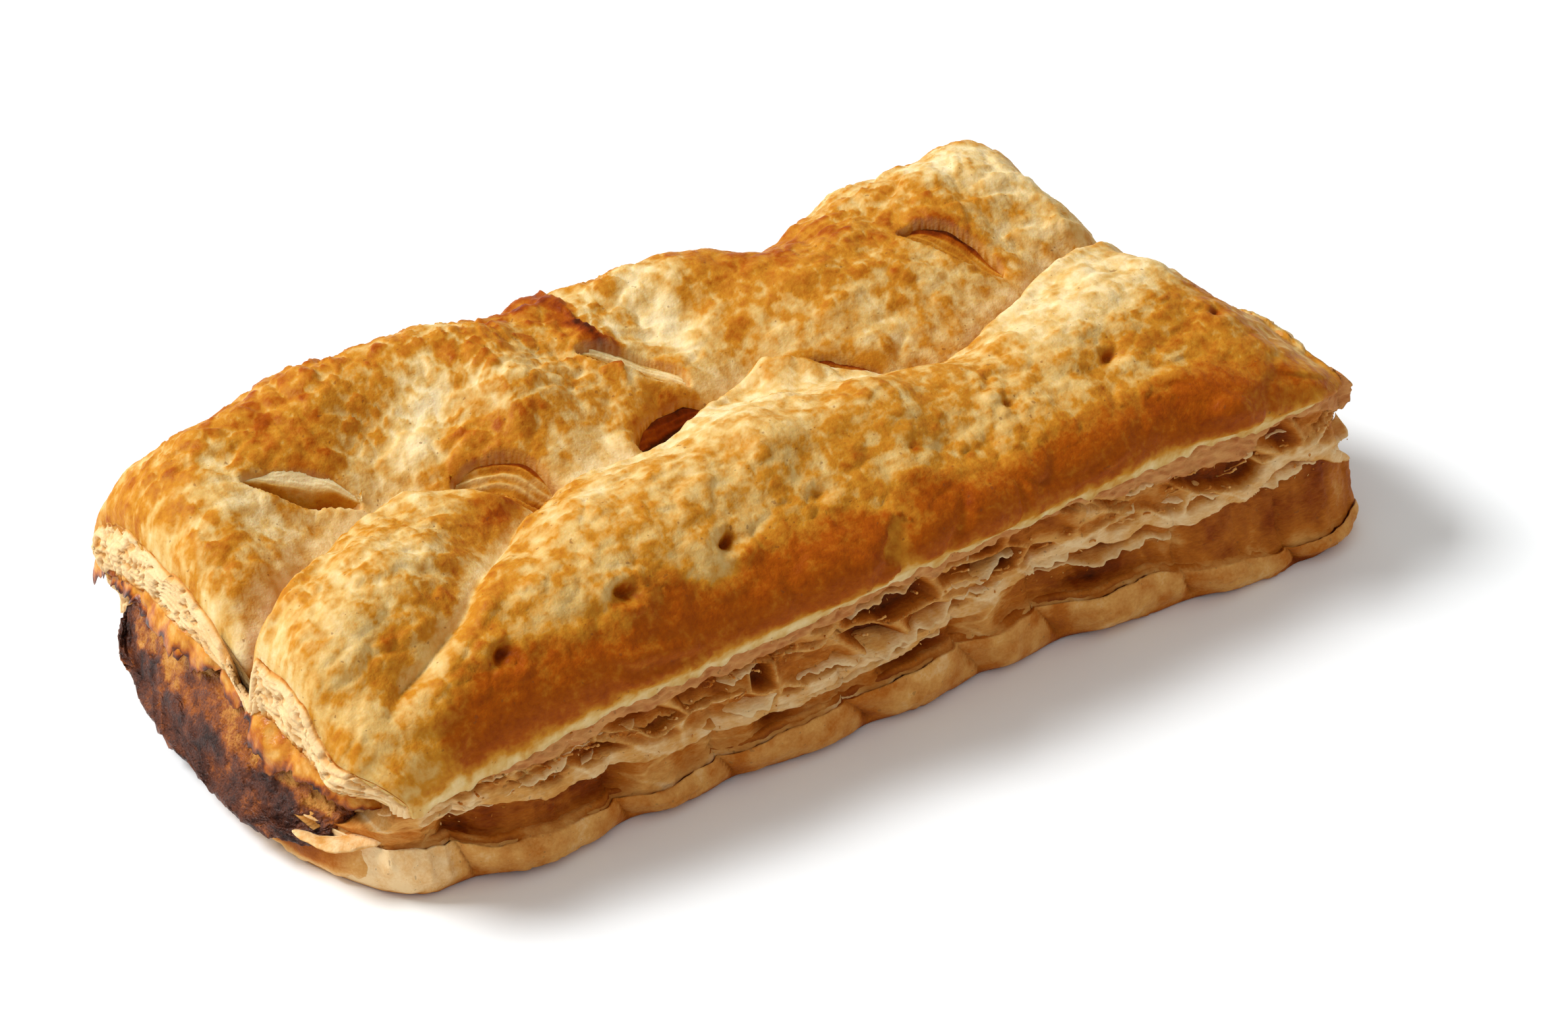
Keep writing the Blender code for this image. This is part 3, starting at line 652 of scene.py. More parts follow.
class Tree:
    """Short names for adding nodes to a material."""

    def __init__(self, name):
        self.material = bpy.data.materials.new(name)
        self.material.use_nodes = True
        self.tree = self.material.node_tree
        self.shader = self.tree.nodes["Principled BSDF"]
        self.place = self.add("ShaderNodeTexCoord").outputs["Object"]

    def add(self, kind, **settings):
        """A node with its settings."""
        node = self.tree.nodes.new(kind)
        for key, value in settings.items():
            setattr(node, key, value)
        return node

    def link(self, source, target):
        self.tree.links.new(source, target)

    def put(self, target, value):
        """Give a socket a plain value, or link it to another socket."""
        if isinstance(value, bpy.types.NodeSocket):
            self.link(value, target)
        else:
            target.default_value = value

    def mark(self, name):
        """One of the numbers stored at the mesh's points."""
        return self.add("ShaderNodeAttribute", attribute_name=name).outputs["Fac"]

    def sums(self, operation, a, b, clamp=False):
        """One step of arithmetic."""
        node = self.add("ShaderNodeMath", operation=operation, use_clamp=clamp)
        self.put(node.inputs[0], a)
        self.put(node.inputs[1], b)
        return node.outputs[0]

    def vary(self, value, grain, amount, clamp=False):
        """A value made uneven by a grain of noise, up and down alike."""
        change = self.sums("MULTIPLY", self.sums("SUBTRACT", grain, 0.5), amount)
        return self.sums("ADD", value, change, clamp)

    def grain(self, size, detail=3, stretch=(1, 1, 1)):
        """Noise from 0 to 1 with lumps of about that size."""
        mapping = self.add("ShaderNodeMapping")
        mapping.inputs["Scale"].default_value = stretch
        self.link(self.place, mapping.inputs["Vector"])
        node = self.add("ShaderNodeTexNoise")
        node.inputs["Scale"].default_value = 1 / size
        node.inputs["Detail"].default_value = detail
        self.link(mapping.outputs[0], node.inputs["Vector"])
        return node.outputs[0]

    def ramp(self, value, stops):
        """The colour that a ramp of (place, colour) shows at a value."""
        node = self.add("ShaderNodeValToRGB")
        ramp = node.color_ramp
        while len(ramp.elements) < len(stops):
            ramp.elements.new(0.5)
        for element, (place, colour) in zip(ramp.elements, stops):
            element.position = place
            element.color = (*colour, 1)
        self.link(value, node.inputs[0])
        return node.outputs[0]

    def mix(self, share, a, b):
        """Two colours mixed by a share."""
        node = self.add("ShaderNodeMix", data_type="RGBA")
        self.put(node.inputs[0], share)
        self.put(node.inputs[6], a)
        self.put(node.inputs[7], b)
        return node.outputs[2]

    def specked(self, colour, size, edge, amount, speck_colour):
        """A colour with small specks, where fine noise lies below an edge of (start, end)."""
        speck, clear = (1, 1, 1), (0, 0, 0)
        places = ((0.0, speck), (edge[0], speck), (edge[1], clear), (1.0, clear))
        share = self.sums("MULTIPLY", self.ramp(self.grain(size, 1), places), amount)
        return self.mix(share, colour, (*speck_colour, 1))

    def bump(self, *layers):
        """Bump from layers of (height, distance in metres), added one on the other."""
        normal = None
        for height, distance in layers:
            node = self.add("ShaderNodeBump")
            node.inputs["Distance"].default_value = distance
            node.inputs["Strength"].default_value = 1.0
            self.link(height, node.inputs["Height"])
            if normal is not None:
                self.link(normal, node.inputs["Normal"])
            normal = node.outputs[0]
        self.link(normal, self.shader.inputs["Normal"])

    def finish(self, colour, roughness, subsurface=0.0, specular=0.5):
        """Tie colour and roughness to the shader, and return the material."""
        self.put(self.shader.inputs["Base Color"], colour)
        self.put(self.shader.inputs["Roughness"], roughness)
        self.shader.inputs["Specular IOR Level"].default_value = specular
        self.shader.inputs["Subsurface Weight"].default_value = subsurface
        self.shader.inputs["Subsurface Radius"].default_value = SOFT_COLOURS
        self.shader.inputs["Subsurface Scale"].default_value = SOFT_DEPTH
        return self.material


def shade(red, green, blue):
    """A colour as seen on a screen, 0 to 255, in Blender's linear light."""
    shares = [c / 255 for c in (red, green, blue)]
    return tuple(c / 12.92 if c <= 0.04045 else ((c + 0.055) / 1.055) ** 2.4 for c in shares)


def stops(*rows):
    """Colour stops of a ramp, from rows of place, red, green and blue."""
    return [(place, shade(*colour)) for place, *colour in rows]


BAKED = stops(
    (0.00, 240, 220, 176), (0.20, 234, 209, 156), (0.40, 214, 174, 103), (0.56, 195, 130, 34),
    (0.72, 162, 78, 4), (0.88, 126, 47, 2), (1.00, 70, 25, 3),
)
# Raw dough from cream to brown; its dark end gives the painted shade in the slits' hollows.
RAW_AND_SHADED = stops((0.00, 232, 206, 162), (0.30, 212, 164, 104), (0.60, 160, 84, 26), (1.00, 66, 20, 4))

# %% [markdown]
# ## The golden crust
#
# This is the piece that everyone looks at, so it gets the finest grid: one closed tube with the washed skin
# on its outside and a plain arch under it, where the meat lies.

# %% Crust finish
def crust_finish():
    t = Tree("golden_crust")
    fine, coarse = t.grain(0.8 * MM, 3), t.grain(2.2 * MM, 3)
    browning_and_shade = t.vary(t.vary(t.mark("browning_and_shade"), fine, 0.20), coarse, 0.24, clamp=True)
    # Inside the slits the colour is the raw-dough ramp read at the darkness mark, which is the layers' brown
    # and painted shade.
    dark = t.vary(t.mark("dark"), t.grain(0.5 * MM, 3, (0.35, 1, 2.4)), 0.3, clamp=True)
    colour = t.mix(t.mark("inside"), t.ramp(browning_and_shade, BAKED), t.ramp(dark, RAW_AND_SHADED))
    colour = t.specked(colour, 0.9 * MM, (0.24, 0.255), 0.5, shade(120, 66, 28))
    roughness = t.sums("SUBTRACT", 0.62, t.sums("MULTIPLY", browning_and_shade, 0.24))
    t.bump((fine, 0.16 * MM), (t.grain(0.3 * MM, 2), 0.05 * MM))
    return t.finish(colour, roughness, subsurface=0.24, specular=0.06)


GOLDEN_CRUST = crust_finish()
print("made", GOLDEN_CRUST.name)

# %% Crust mesh
CRUST_COLUMNS, CRUST_STATIONS, UNDERSIDE_COLUMNS = 246, 390, 9
ARCH_HALF_WIDTH = 30.5 * MM


def even_columns(count, wall_share=0.55):
    """Values of v along the middle section's skin, wider apart on the walls, and the distance at each."""
    v = np.linspace(0, 1, 4001)
    y, z, _, _ = dome(np.zeros_like(v), v)
    run = np.concatenate([[0], np.cumsum(np.hypot(np.diff(y), np.diff(z)))])
    fineness = wall_share + (1 - wall_share) * smooth(0.12, 0.2, v) * (1 - smooth(0.72, 0.8, v))
    weighted = np.concatenate([[0], np.cumsum(np.diff(run) * fineness[1:])])
    even = np.linspace(0, weighted[-1], count)
    v_even = np.interp(even, weighted, v)
    return v_even, np.interp(v_even, v, run)


def underside(x, u):
    """The arch under the crust, over the meat, from the far foot, u 0, back to the near lip, u 1."""
    angle = math.pi * u
    side = np.cos(angle)
    near = side < 0
    y = ARCH_HALF_WIDTH * np.sign(side) * np.abs(side) ** 0.7 + np.where(near, -1.5 * MM, 2.0 * MM)
    to_lip = smooth(0.5, 1, u)
    near_spring = lip_height(x) * to_lip + 12 * MM * (1 - to_lip)
    spring = np.where(near, near_spring, 3 * MM + 9 * MM * smooth(0, 0.5, u))
    left = smooth(LEFT_END + 26 * MM, LEFT_END, x)
    roof = (20.5 - 3.0 * left) * MM - 3.0 * MM * smooth(48 * MM, 72 * MM, x)
    z = spring + np.maximum(roof - spring, 0) * np.abs(np.sin(angle)) ** 0.7
    return y, z


v, skin_run = even_columns(CRUST_COLUMNS)
station = np.linspace(0, 1, CRUST_STATIONS)[:, None]
x = end_left(v)[None, :] + (end_right(v) - end_left(v))[None, :] * station
y, z, crust_marks = crust_surface(x, np.broadcast_to(v, x.shape), np.broadcast_to(skin_run, x.shape))
outer = spread(x, y, z)
u = np.linspace(0, 1, UNDERSIDE_COLUMNS + 2)[1:-1]
ends_u = np.interp(u, [0, 1], [1, 0])
under_x = end_left(ends_u)[None, :] + (end_right(ends_u) - end_left(ends_u))[None, :] * station
under_y, under_z = underside(under_x, np.broadcast_to(u, under_x.shape))
rings = np.concatenate([outer, spread(under_x, under_y, under_z)], axis=1)
padding = ((0, 0), (0, UNDERSIDE_COLUMNS))
marks = {name: np.pad(values, padding, constant_values=0.3) for name, values in crust_marks.items()}
crust = tube("crust", rings, marks, GOLDEN_CRUST, arch=CRUST_COLUMNS)

# %% [markdown]
# ## The base sheet
#
# The lower edge of the pastry sheet runs out under the roll as a rim. Fingers pressed it down at intervals,
# so it bulges between short upright dents, and a crack runs along its top. One closed tube round its girth
# makes it, with the most columns on the near rim, where all of this shows.

# %% Torn dough finish
TORN = stops(
    (0.00, 238, 204, 152), (0.24, 214, 156, 82), (0.48, 182, 104, 28), (0.74, 136, 60, 6), (1.00, 58, 20, 4),
)


def torn_finish(name, gloss=0.55, grain_stretch=(0.5, 1, 1.8), contrast=0.24):
    t = Tree(name)
    fine, coarse = t.grain(0.4 * MM, 4, grain_stretch), t.grain(2.2 * MM, 3)
    browning_and_shade = t.vary(t.vary(t.mark("browning_and_shade"), fine, contrast), coarse, contrast, clamp=True)
    colour = t.mix(t.mark("pink"), t.ramp(browning_and_shade, TORN), (*shade(196, 138, 98), 1))
    colour = t.specked(colour, 0.8 * MM, (0.25, 0.262), 0.4, shade(110, 70, 36))
    t.bump((fine, 0.10 * MM), (t.grain(0.22 * MM, 2), 0.05 * MM))
    return t.finish(colour, gloss, subsurface=0.08, specular=0.08)


TORN_LAYERS = torn_finish("torn_layers")
BASE_DOUGH = torn_finish("base_dough", 0.5, (1, 1, 1))
WHITE_LAYERS = torn_finish("white_layers", 0.6, (1, 1, 1), 0.12)
print("made", TORN_LAYERS.name, BASE_DOUGH.name, WHITE_LAYERS.name)

# %% Base sheet mesh
RIM = (  # x and height of the near rim's upper edge in mm
    (-78, 8.0), (-71, 8.2), (-60, 5.9), (-48, 5.2), (-35, 4.4), (-21, 5.9), (-10, 6.1), (5, 7.3),
    (22, 7.2), (35, 7.1), (47, 6.2), (59, 4.0), (77, 4.3),
)
RIM_REACH = (  # x and how far the rim stands out towards the front in mm
    (-81, 10), (-80, 15), (-79, 20), (-77.4, 24.2), (-75.7, 27.6), (-73.9, 30.9), (-71.5, 33.4),
    (-68.5, 35.1), (-62, 36.2), (-50, 37.2), (-34, 37.0), (-18, 37.5), (-4, 38.0), (16, 37.2), (28, 37.2),
    (38, 38.2), (48, 40.0), (56, 40.6), (61, 41.3), (66, 41.2), (71, 39.3), (74.4, 37.0), (76, 35.6),
    (77, 33),
)
PINCHES = (-65, -42.5, -25.5, -6.5, 11.5, 25, 45.5, 62)
BASE_LEFT, BASE_RIGHT = LEFT_END - BASE_TONGUE, RIGHT_END + BASE_TONGUE


def eased(x, places):
    """Heights at x between listed places in mm, with soft steps."""
    xs, heights = np.array(places).T
    i = np.clip(np.searchsorted(xs, x / MM) - 1, 0, len(xs) - 2)
    t = smooth(xs[i], xs[i + 1], x / MM)
    return (heights[i] * (1 - t) + heights[i + 1] * t) * MM


def rim_top(x):
    """Height of the near rim's upper edge."""
    return eased(x, RIM) + 0.35 * MM * noise(x, 0, 0, 5 * MM, 111)


def pinch_dents(x):
    """Depth of the dents pressed into the rim, and the fullness of the dough between them."""
    away = np.array([x / MM - p for p in PINCHES])
    sharp = bell(away, 0.7).max(0) * 0.45
    lapped = np.where(away > 0, np.exp(-np.abs(away) / 2.6), 0).max(0)
    return sharp + 0.45 * lapped, 1 - bell(np.abs(away).min(0), 5.0)


def near_rim(x, w):
    """The base sheet's near rim: w is 0 at the floor and 1 at its upper edge."""
    reach = listed(x, RIM_REACH) * MM + 1.0 * MM
    dent, full = pinch_dents(x + 3.4 * MM * (w - 0.5) + 1.2 * MM * noise(x, 0, w * 5 * MM, 6 * MM, 118))
    bow = 1.6 * MM * (1 - np.sqrt(np.clip(2 * w - w * w, 0, 1)))
    out = 1.5 * MM * full * np.sin(math.pi * np.clip(0.10 + 0.80 * w, 0, 1))
    out = out - 1.2 * MM * dent * smooth(0, 0.3, w) - 0.8 * MM * (1 - full)
    lumps = 0.7 * MM * rough(x, 0, w * 6 * MM, 4.5 * MM, 112) + 0.7 * MM * noise(x, 0, 0, 8 * MM, 117)
    wrinkle = 0.35 * MM * (1 - puff(x, w * 9 * MM, 3.4 * MM, 113)) * full
    y = -(reach - bow + out + lumps * smooth(0, 0.2, w) - wrinkle)
    # At the near left corner the thick dough is pleated.
    pleats = smooth(-60 * MM, -70 * MM, x) * smooth(0.1, 0.5, w)
    phase = x / (3.1 * MM) + 0.5 * w + noise(x, 0, w * 5 * MM, 5 * MM, 119)
    y = y + 0.55 * MM * pleats * (np.abs(np.sin(math.pi * phase)) - 0.4)
    return y, rim_top(x) * w


RIM_COLUMNS = 26


def base_rings(count):
    """Rings round the base sheet from the near floor edge, over the top, to the far side and back."""
    u = np.linspace(0, 1, count)
    x = (BASE_LEFT + (BASE_RIGHT - BASE_LEFT) * (u - 0.045 * np.sin(2 * math.pi * u)))[:, None]
    w = np.linspace(0, 1, RIM_COLUMNS)[None, :]
    near_y, near_z = near_rim(x, w)
    inward = np.array([0.25, 0.5, 0.8, 1.2, 1.8, 2.6, 3.6, 5, 7, 10, 15, 25, 40, 55])[None, :] * MM
    edge_y, edge_z = near_y[:, -1:], near_z[:, -1:]
    crack = np.clip(0.35 + 1.1 * noise(x, 0, 0, 9 * MM, 114), 0, 1)
    groove = crack * bell(inward - 0.65 * MM, 0.38 * MM)
    sink = smooth(3 * MM, 15 * MM, inward)
    top_y = edge_y + inward
    top_z = edge_z - 1.3 * MM * groove + 0.4 * MM * bell(inward - 1.6 * MM, 0.8 * MM)
    top_z = top_z * (1 - sink) + 2.5 * MM * sink + 0.2 * MM * rough(x, top_y, 0, 1.5 * MM, 115)
    far = HALF_WIDTH - corner_inset(x, BASE_LEFT, 10 * MM) - corner_inset(x, BASE_RIGHT, 8 * MM)
    top_y = np.minimum(top_y, far - 1 * MM)
    far_y = np.concatenate([far - 0.6 * MM, far, far - 0.3 * MM], axis=1)
    far_z = np.broadcast_to(np.array([[2.0, 1.0, 0.0]]) * MM, far_y.shape)
    floor_share = np.linspace(0, 1, 8)[None, 1:-1]
    floor_y = far_y[:, -1:] + (near_y[:, :1] - far_y[:, -1:]) * floor_share
    y = np.concatenate([near_y, top_y, far_y, floor_y], axis=1)
    z = np.concatenate([near_z, top_z, far_z, 0 * floor_y], axis=1)
    # Both ends are rounded over: the height closes towards the middle, and the very edge stands back.
    reach = np.minimum(x - BASE_LEFT, BASE_RIGHT - x)
    close = np.sqrt(np.clip(1 - (1 - np.clip(reach / (2.4 * MM), 0, 1)) ** 2, 0, 1))
    middle = 0.42 * rim_top(x)
    z = middle + (z - middle) * (0.12 + 0.88 * close)
    # Under the filling the sheet stops shorter.
    x = x + 3.2 * MM * smooth(-60 * MM, -80 * MM, x) * smooth(-16 * MM, -4 * MM, y)
    dent, full = pinch_dents(x)
    browning_and_shade = 0.30 + 0.16 * rough(x, y, z, 7 * MM, 116) + 0.14 * smooth(0.0, 1.5 * MM, y - edge_y)
    browning_and_shade = browning_and_shade + 0.16 * rough(x, y, z, 2.2 * MM, 120)
    browning_and_shade = browning_and_shade + 0.22 * smooth(1.1 * MM, 0.2 * MM, z) * smooth(5 * MM, 2 * MM, y - edge_y)
    browning_and_shade = browning_and_shade + 0.10 * np.clip(dent, 0, 1) + 0.10 * (1 - full) - 0.26 * smooth(-56 * MM, -72 * MM, x)
    crack_mark = 0 * browning_and_shade
    crack_mark[:, RIM_COLUMNS:RIM_COLUMNS + groove.shape[1]] = groove
    browning_and_shade = browning_and_shade + 0.5 * crack_mark
    return spread(x, y, np.maximum(z, 0)), dough_marks(browning_and_shade)


BASE_STATIONS = 460
rings, marks = base_rings(BASE_STATIONS)
base_sheet = tube("base_sheet", rings, marks, BASE_DOUGH)

# %% [markdown]
# ## The open seam
#
# Between rim and lip the sheet's layers have come apart. Steam stretched them into hollows with webs between,
# a pale sheet runs through the middle, and right under the lip the layers stay pressed together in a thin
# line. The back wall gets these as deep relief. Thin sheets with torn edges then stand out from it.

# %% Seam wall
MID_SHEET = (  # x in mm and share of the height between rim and lip
    (-78, 0.50), (-60, 0.48), (-45, 0.45), (-28, 0.33), (-16, 0.26), (0, 0.22), (10, 0.30), (20, 0.38),
    (30, 0.43), (38, 0.46), (46, 0.46), (54, 0.53), (65, 0.52), (78, 0.42),
)

LOW_POCKETS = ((-63, 3.5), (-47, 5.0), (-19, 4.0), (3, 6.0), (29, 7.0))  # x and reach of low hollows in mm


def lip_place(x):
    """y and z of the crust's ragged near lip."""
    y, z, _ = crust_surface(x, np.zeros_like(x), np.zeros_like(x))
    return y, z


def seam_place(x, w, back):
    """y and z in the open seam, at the share w of the way from rim to lip, and some way back."""
    lip_y, lip_z = lip_place(x)
    rim_y, _ = near_rim(x, 1.0)
    low = rim_top(x)
    return rim_y + back + (lip_y - rim_y) * w, low + (lip_z - low) * w


def seam_ends(w):
    """Where the seam's back wall starts and ends along the roll."""
    tips = 2.0 * MM * np.sin(3 * math.pi * w) * smooth(0.1, 0.5, w)
    left = LEFT_END - BASE_TONGUE + (CORNER_BACK + BASE_TONGUE) * np.sqrt(w)
    return left, RIGHT_END + BASE_TONGUE * (1 - w) ** 2 + tips


def seam_wall(x, w):
    """The torn back wall of the seam, at the share w of the way from rim to lip, and its marks."""
    low = rim_top(x) - 0.5 * MM
    lip_y, lip_z = lip_place(x)
    rim_y, _ = near_rim(x, 1.0)
    height = (lip_z - low) / MM
    wavy = w + 0.09 * noise(x, 0, 0, 13 * MM, 121) + 0.04 * noise(x, 0, w * 9 * MM, 4 * MM, 122)
    mid = eased(x, MID_SHEET) / MM
    above_mid = (wavy - mid) * height
    zz = w * height * MM
    ux = x + 2.2 * MM * noise(x, 0, zz, 7 * MM, 123) + 1.6 * zz
    uz = zz + 1.1 * MM * noise(x, 0, zz, 4 * MM, 124)
    first, second, own = cells(ux, uz * 2.7, 11 * MM, 125)
    border = second - first
    web = 1 - smooth(0.02, 0.12, border)
    hollow = (1.5 + 1.3 * np.clip(own + 0.4, 0, 1)) * smooth(0.01, 0.40, border)
    small_first, small_second, small_own = cells(ux, uz * 1.9, 2.3 * MM, 126)
    teeth = smooth(0.02, 0.35, small_second - small_first)
    toothed = 0.25 + smooth(-38 * MM, -52 * MM, x) + smooth(0.55, 0.85, wavy) - 0.6 * (own > 0.1)
    toothed = np.clip(toothed, 0, 1)
    hollow = hollow * (1 - toothed) + toothed * (0.6 + 1.1 * teeth * np.clip(small_own + 0.7, 0, 1))
    upper = 0.4 + hollow
    away = np.min([np.abs(x / MM - p - 3) for p in PINCHES], axis=0)
    pocket = sum(bell(x / MM - px, reach) for px, reach in LOW_POCKETS)
    lower = 1.2 + 2.2 * np.clip(pocket, 0, 1) + 0.9 * noise(x, 0, zz, 6 * MM, 127) - 0.9 * bell(away, 1.6)
    right_gap = smooth(44 * MM, 50 * MM, x)
    lower = lower * (1 - right_gap) + right_gap * (0.6 + 2.4 * wavy - 0.4 * smooth(66 * MM, 76 * MM, x))
    is_lower = 1 - smooth(-1.2, -0.6, above_mid)
    is_mid = smooth(-1.2, -0.7, above_mid) * (1 - smooth(0.6, 1.5, above_mid))
    recess = lower * is_lower + (0.5 + 0.12 * above_mid ** 2) * is_mid + upper * (1 - is_lower - is_mid)
    pressed = smooth(0.74, 0.79, wavy)
    recess = recess * (1 - pressed) + pressed * (0.5 + 0.30 * noise(x, 0, 2 * zz, 1.0 * MM, 128))
    recess = recess * smooth(0.0, 0.08, w)
    fine = 0.22 * rough(x, 0, 2.2 * zz, 1.4 * MM, 129) + 0.14 * noise(x, 0, 3 * zz, 0.8 * MM, 130)
    y = rim_y + 0.5 * MM + (lip_y - rim_y) * w + (recess + fine) * MM
    z = low + (lip_z + 2.0 * MM - low) * w
    # Deeper hollows and the low layer are browner: partly their own orange-brown, partly painted shade.
    browning_and_shade = 0.22 + 0.16 * recess + 0.22 * rough(x, 0, zz, 4 * MM, 131)
    browning_and_shade = browning_and_shade + 0.14 * (own > 0.0) * (1 - toothed) * (1 - is_lower - is_mid)
    browning_and_shade = browning_and_shade - 0.12 * web * (1 - right_gap * is_lower) - 0.14 * is_mid
    browning_and_shade = browning_and_shade + (0.06 + 0.12 * right_gap) * is_lower
    browning_and_shade = browning_and_shade * (1 - pressed) + pressed * (0.36 + 0.12 * noise(x, 0, 3 * zz, 1.2 * MM, 132))
    return y, z, dough_marks(browning_and_shade, 0.35 * pressed)


WALL_STATIONS, WALL_ROWS = 480, 100
w = np.linspace(0, 1, WALL_ROWS)[None, :]
left, right_end = seam_ends(w)
x = left + (right_end - left) * np.linspace(0, 1, WALL_STATIONS)[:, None]
y, z, marks = seam_wall(x, np.broadcast_to(w, x.shape))
front = spread(x, y, z)
rear = spread(x * 0.985, -24 * MM, z - 4 * MM * w)
seam_wall_piece = slab("seam_wall", front, rear, marks, TORN_LAYERS)

# %% [markdown]
# ## Thin sheets with torn edges
#
# One helper makes them all: a strip between a root path and an edge path, with a fold across it, ripples,
# and an edge torn back by fine noise. It is a real thickness thick, thinnest at the edge.

# %% Sheet helper
def spline(points, count):
    """Points spaced along a smooth curve through a few places in mm."""
    p = np.array(points, float) * MM
    p = np.concatenate([[2 * p[0] - p[1]], p, [2 * p[-1] - p[-2]]])
    s = np.linspace(0, len(points) - 1 - 1e-9, count)
    i, t = np.floor(s).astype(int), (s % 1)[:, None]
    a, b, c, d = (p[i + k] for k in range(4))
    bent, twisted = 2 * a - 5 * b + 4 * c - d, 3 * b - a - 3 * c + d
    return 0.5 * (2 * b + (c - a) * t + bent * t * t + twisted * t ** 3)


def unit(vectors):
    """Vectors brought to length 1."""
    return vectors / np.maximum(np.linalg.norm(vectors, axis=-1, keepdims=True), 1e-9)


def sheet(name, root, edge, bow, thickness, torn, seed, browning_and_shade, edge_bake, material, rows=14, ripple=0.3):
    """A thin sheet from the root path to the torn edge path, bowed by a vector in mm at its middle."""
    count = len(root)
    t = np.linspace(0, 1, rows)[None, :]
    run = np.concatenate([[0], np.cumsum(np.linalg.norm(np.diff(root, axis=0), axis=1))])[:, None]
    tear = 0.7 * noise(run, 0, 0, 7 * MM, seed) + 0.45 * rough(run, 0, 0, 1.4 * MM, seed + 1, 3)
    reach = np.clip(1 - torn * (0.5 + tear), 0.12, 1.3)
    ends = np.minimum(1, np.sqrt(np.minimum(run, run[-1] - run) / (0.05 * run[-1]) + 0.02))
    s = t * reach * ends
    points = root[:, None] + (edge - root)[:, None] * s[..., None]
    points = points + np.array(bow) * MM * np.sin(math.pi * np.clip(s, 0, 1) * 0.85)[..., None]
    along_run, across = np.gradient(points, axis=0), np.gradient(points, axis=1)
    normal = unit(np.cross(along_run, across))
    out = s * 5 * MM
    wave = noise(run, out, 0, 5 * MM, seed + 5) + 0.4 * noise(run, out, 0, 1.8 * MM, seed + 6)
    points = points + normal * (ripple * MM * wave * smooth(0, 0.3, s))[..., None]
    half = 0.5 * thickness * MM * (1 - 0.65 * t) * (1 + 0.3 * noise(run, out, 0, 1.5 * MM, seed + 7))
    brown = browning_and_shade + 0.15 * rough(run, out, 0, 3 * MM, seed + 8) + edge_bake * smooth(0.62, 1.0, t)
    aside = normal * half[..., None]
    return slab(name, points + aside, points - aside, dough_marks(brown), material)


# %% Sheets standing out of the seam
SEAM_SHEETS = (  # from x to x, height shares there, reach, droop, thickness (mm), brownness
    (-74, -46, 0.80, 0.84, 3.0, 0.4, 0.40, 0.16), (-72, -38, 0.58, 0.66, 3.6, 0.6, 0.40, 0.14),
    (-73, -44, 0.34, 0.46, 3.6, 0.4, 0.45, 0.10), (-50, -21, 0.80, 0.70, 3.6, 2.6, 0.40, 0.46),
    (-47, -27, 0.46, 0.36, 4.4, 1.2, 0.45, 0.42), (-26, 14, 0.64, 0.80, 3.2, 0.8, 0.40, 0.16),
    (-28, 30, 0.36, 0.50, 4.6, 1.6, 0.50, 0.10), (6, 40, 0.66, 0.66, 3.8, 1.0, 0.35, 0.14),
    (12, 44, 0.84, 0.86, 2.4, 0.3, 0.35, 0.18), (36, 75.2, 0.80, 0.78, 3.8, 0.5, 0.45, 0.12),
    (42, 76.8, 0.56, 0.50, 4.2, 1.2, 0.55, 0.10), (-20, 8, 0.20, 0.20, 3.6, 0.3, 0.45, 0.22),
    (20, 45, 0.26, 0.30, 3.8, 0.5, 0.40, 0.18),
)
ROOT_BACK = 4.2  # mm from the seam's face back to the roots of the sheets
sheet_pieces = []
for number, (x0, x1, w0, w1, out, droop, thick, brown) in enumerate(SEAM_SHEETS):
    x = np.linspace(x0, x1, int((x1 - x0) * 4)) * MM
    w = w0 + (w1 - w0) * smooth(x[0], x[-1], x) + 0.04 * noise(x, 0, 0, 9 * MM, 140 + number)
    y, z = seam_place(x, w, 0.5 * MM)
    root = np.stack([x, y + ROOT_BACK * MM, z + 0.3 * MM], axis=1)
    edge = np.stack([x, y + (ROOT_BACK - out) * MM - 0.3 * MM, z - droop * MM], axis=1)
    name = f"seam_sheet_{number + 1}"
    sheet_pieces.append(sheet(name, root, edge, (0, 0, 0.6), thick, 0.36, 150 + 10 * number,
                              brown + 0.16, -0.24, TORN_LAYERS, ripple=0.5))

# %% [markdown]
# ## The cut ends
#
# Where the roll was cut, the crust shows its inside: white, porous layers that follow the skin. Each cut face
# is a slab that fills the crust's end between skin and filling, with pores sunk into it by cells and thin
# ridges for the layers.

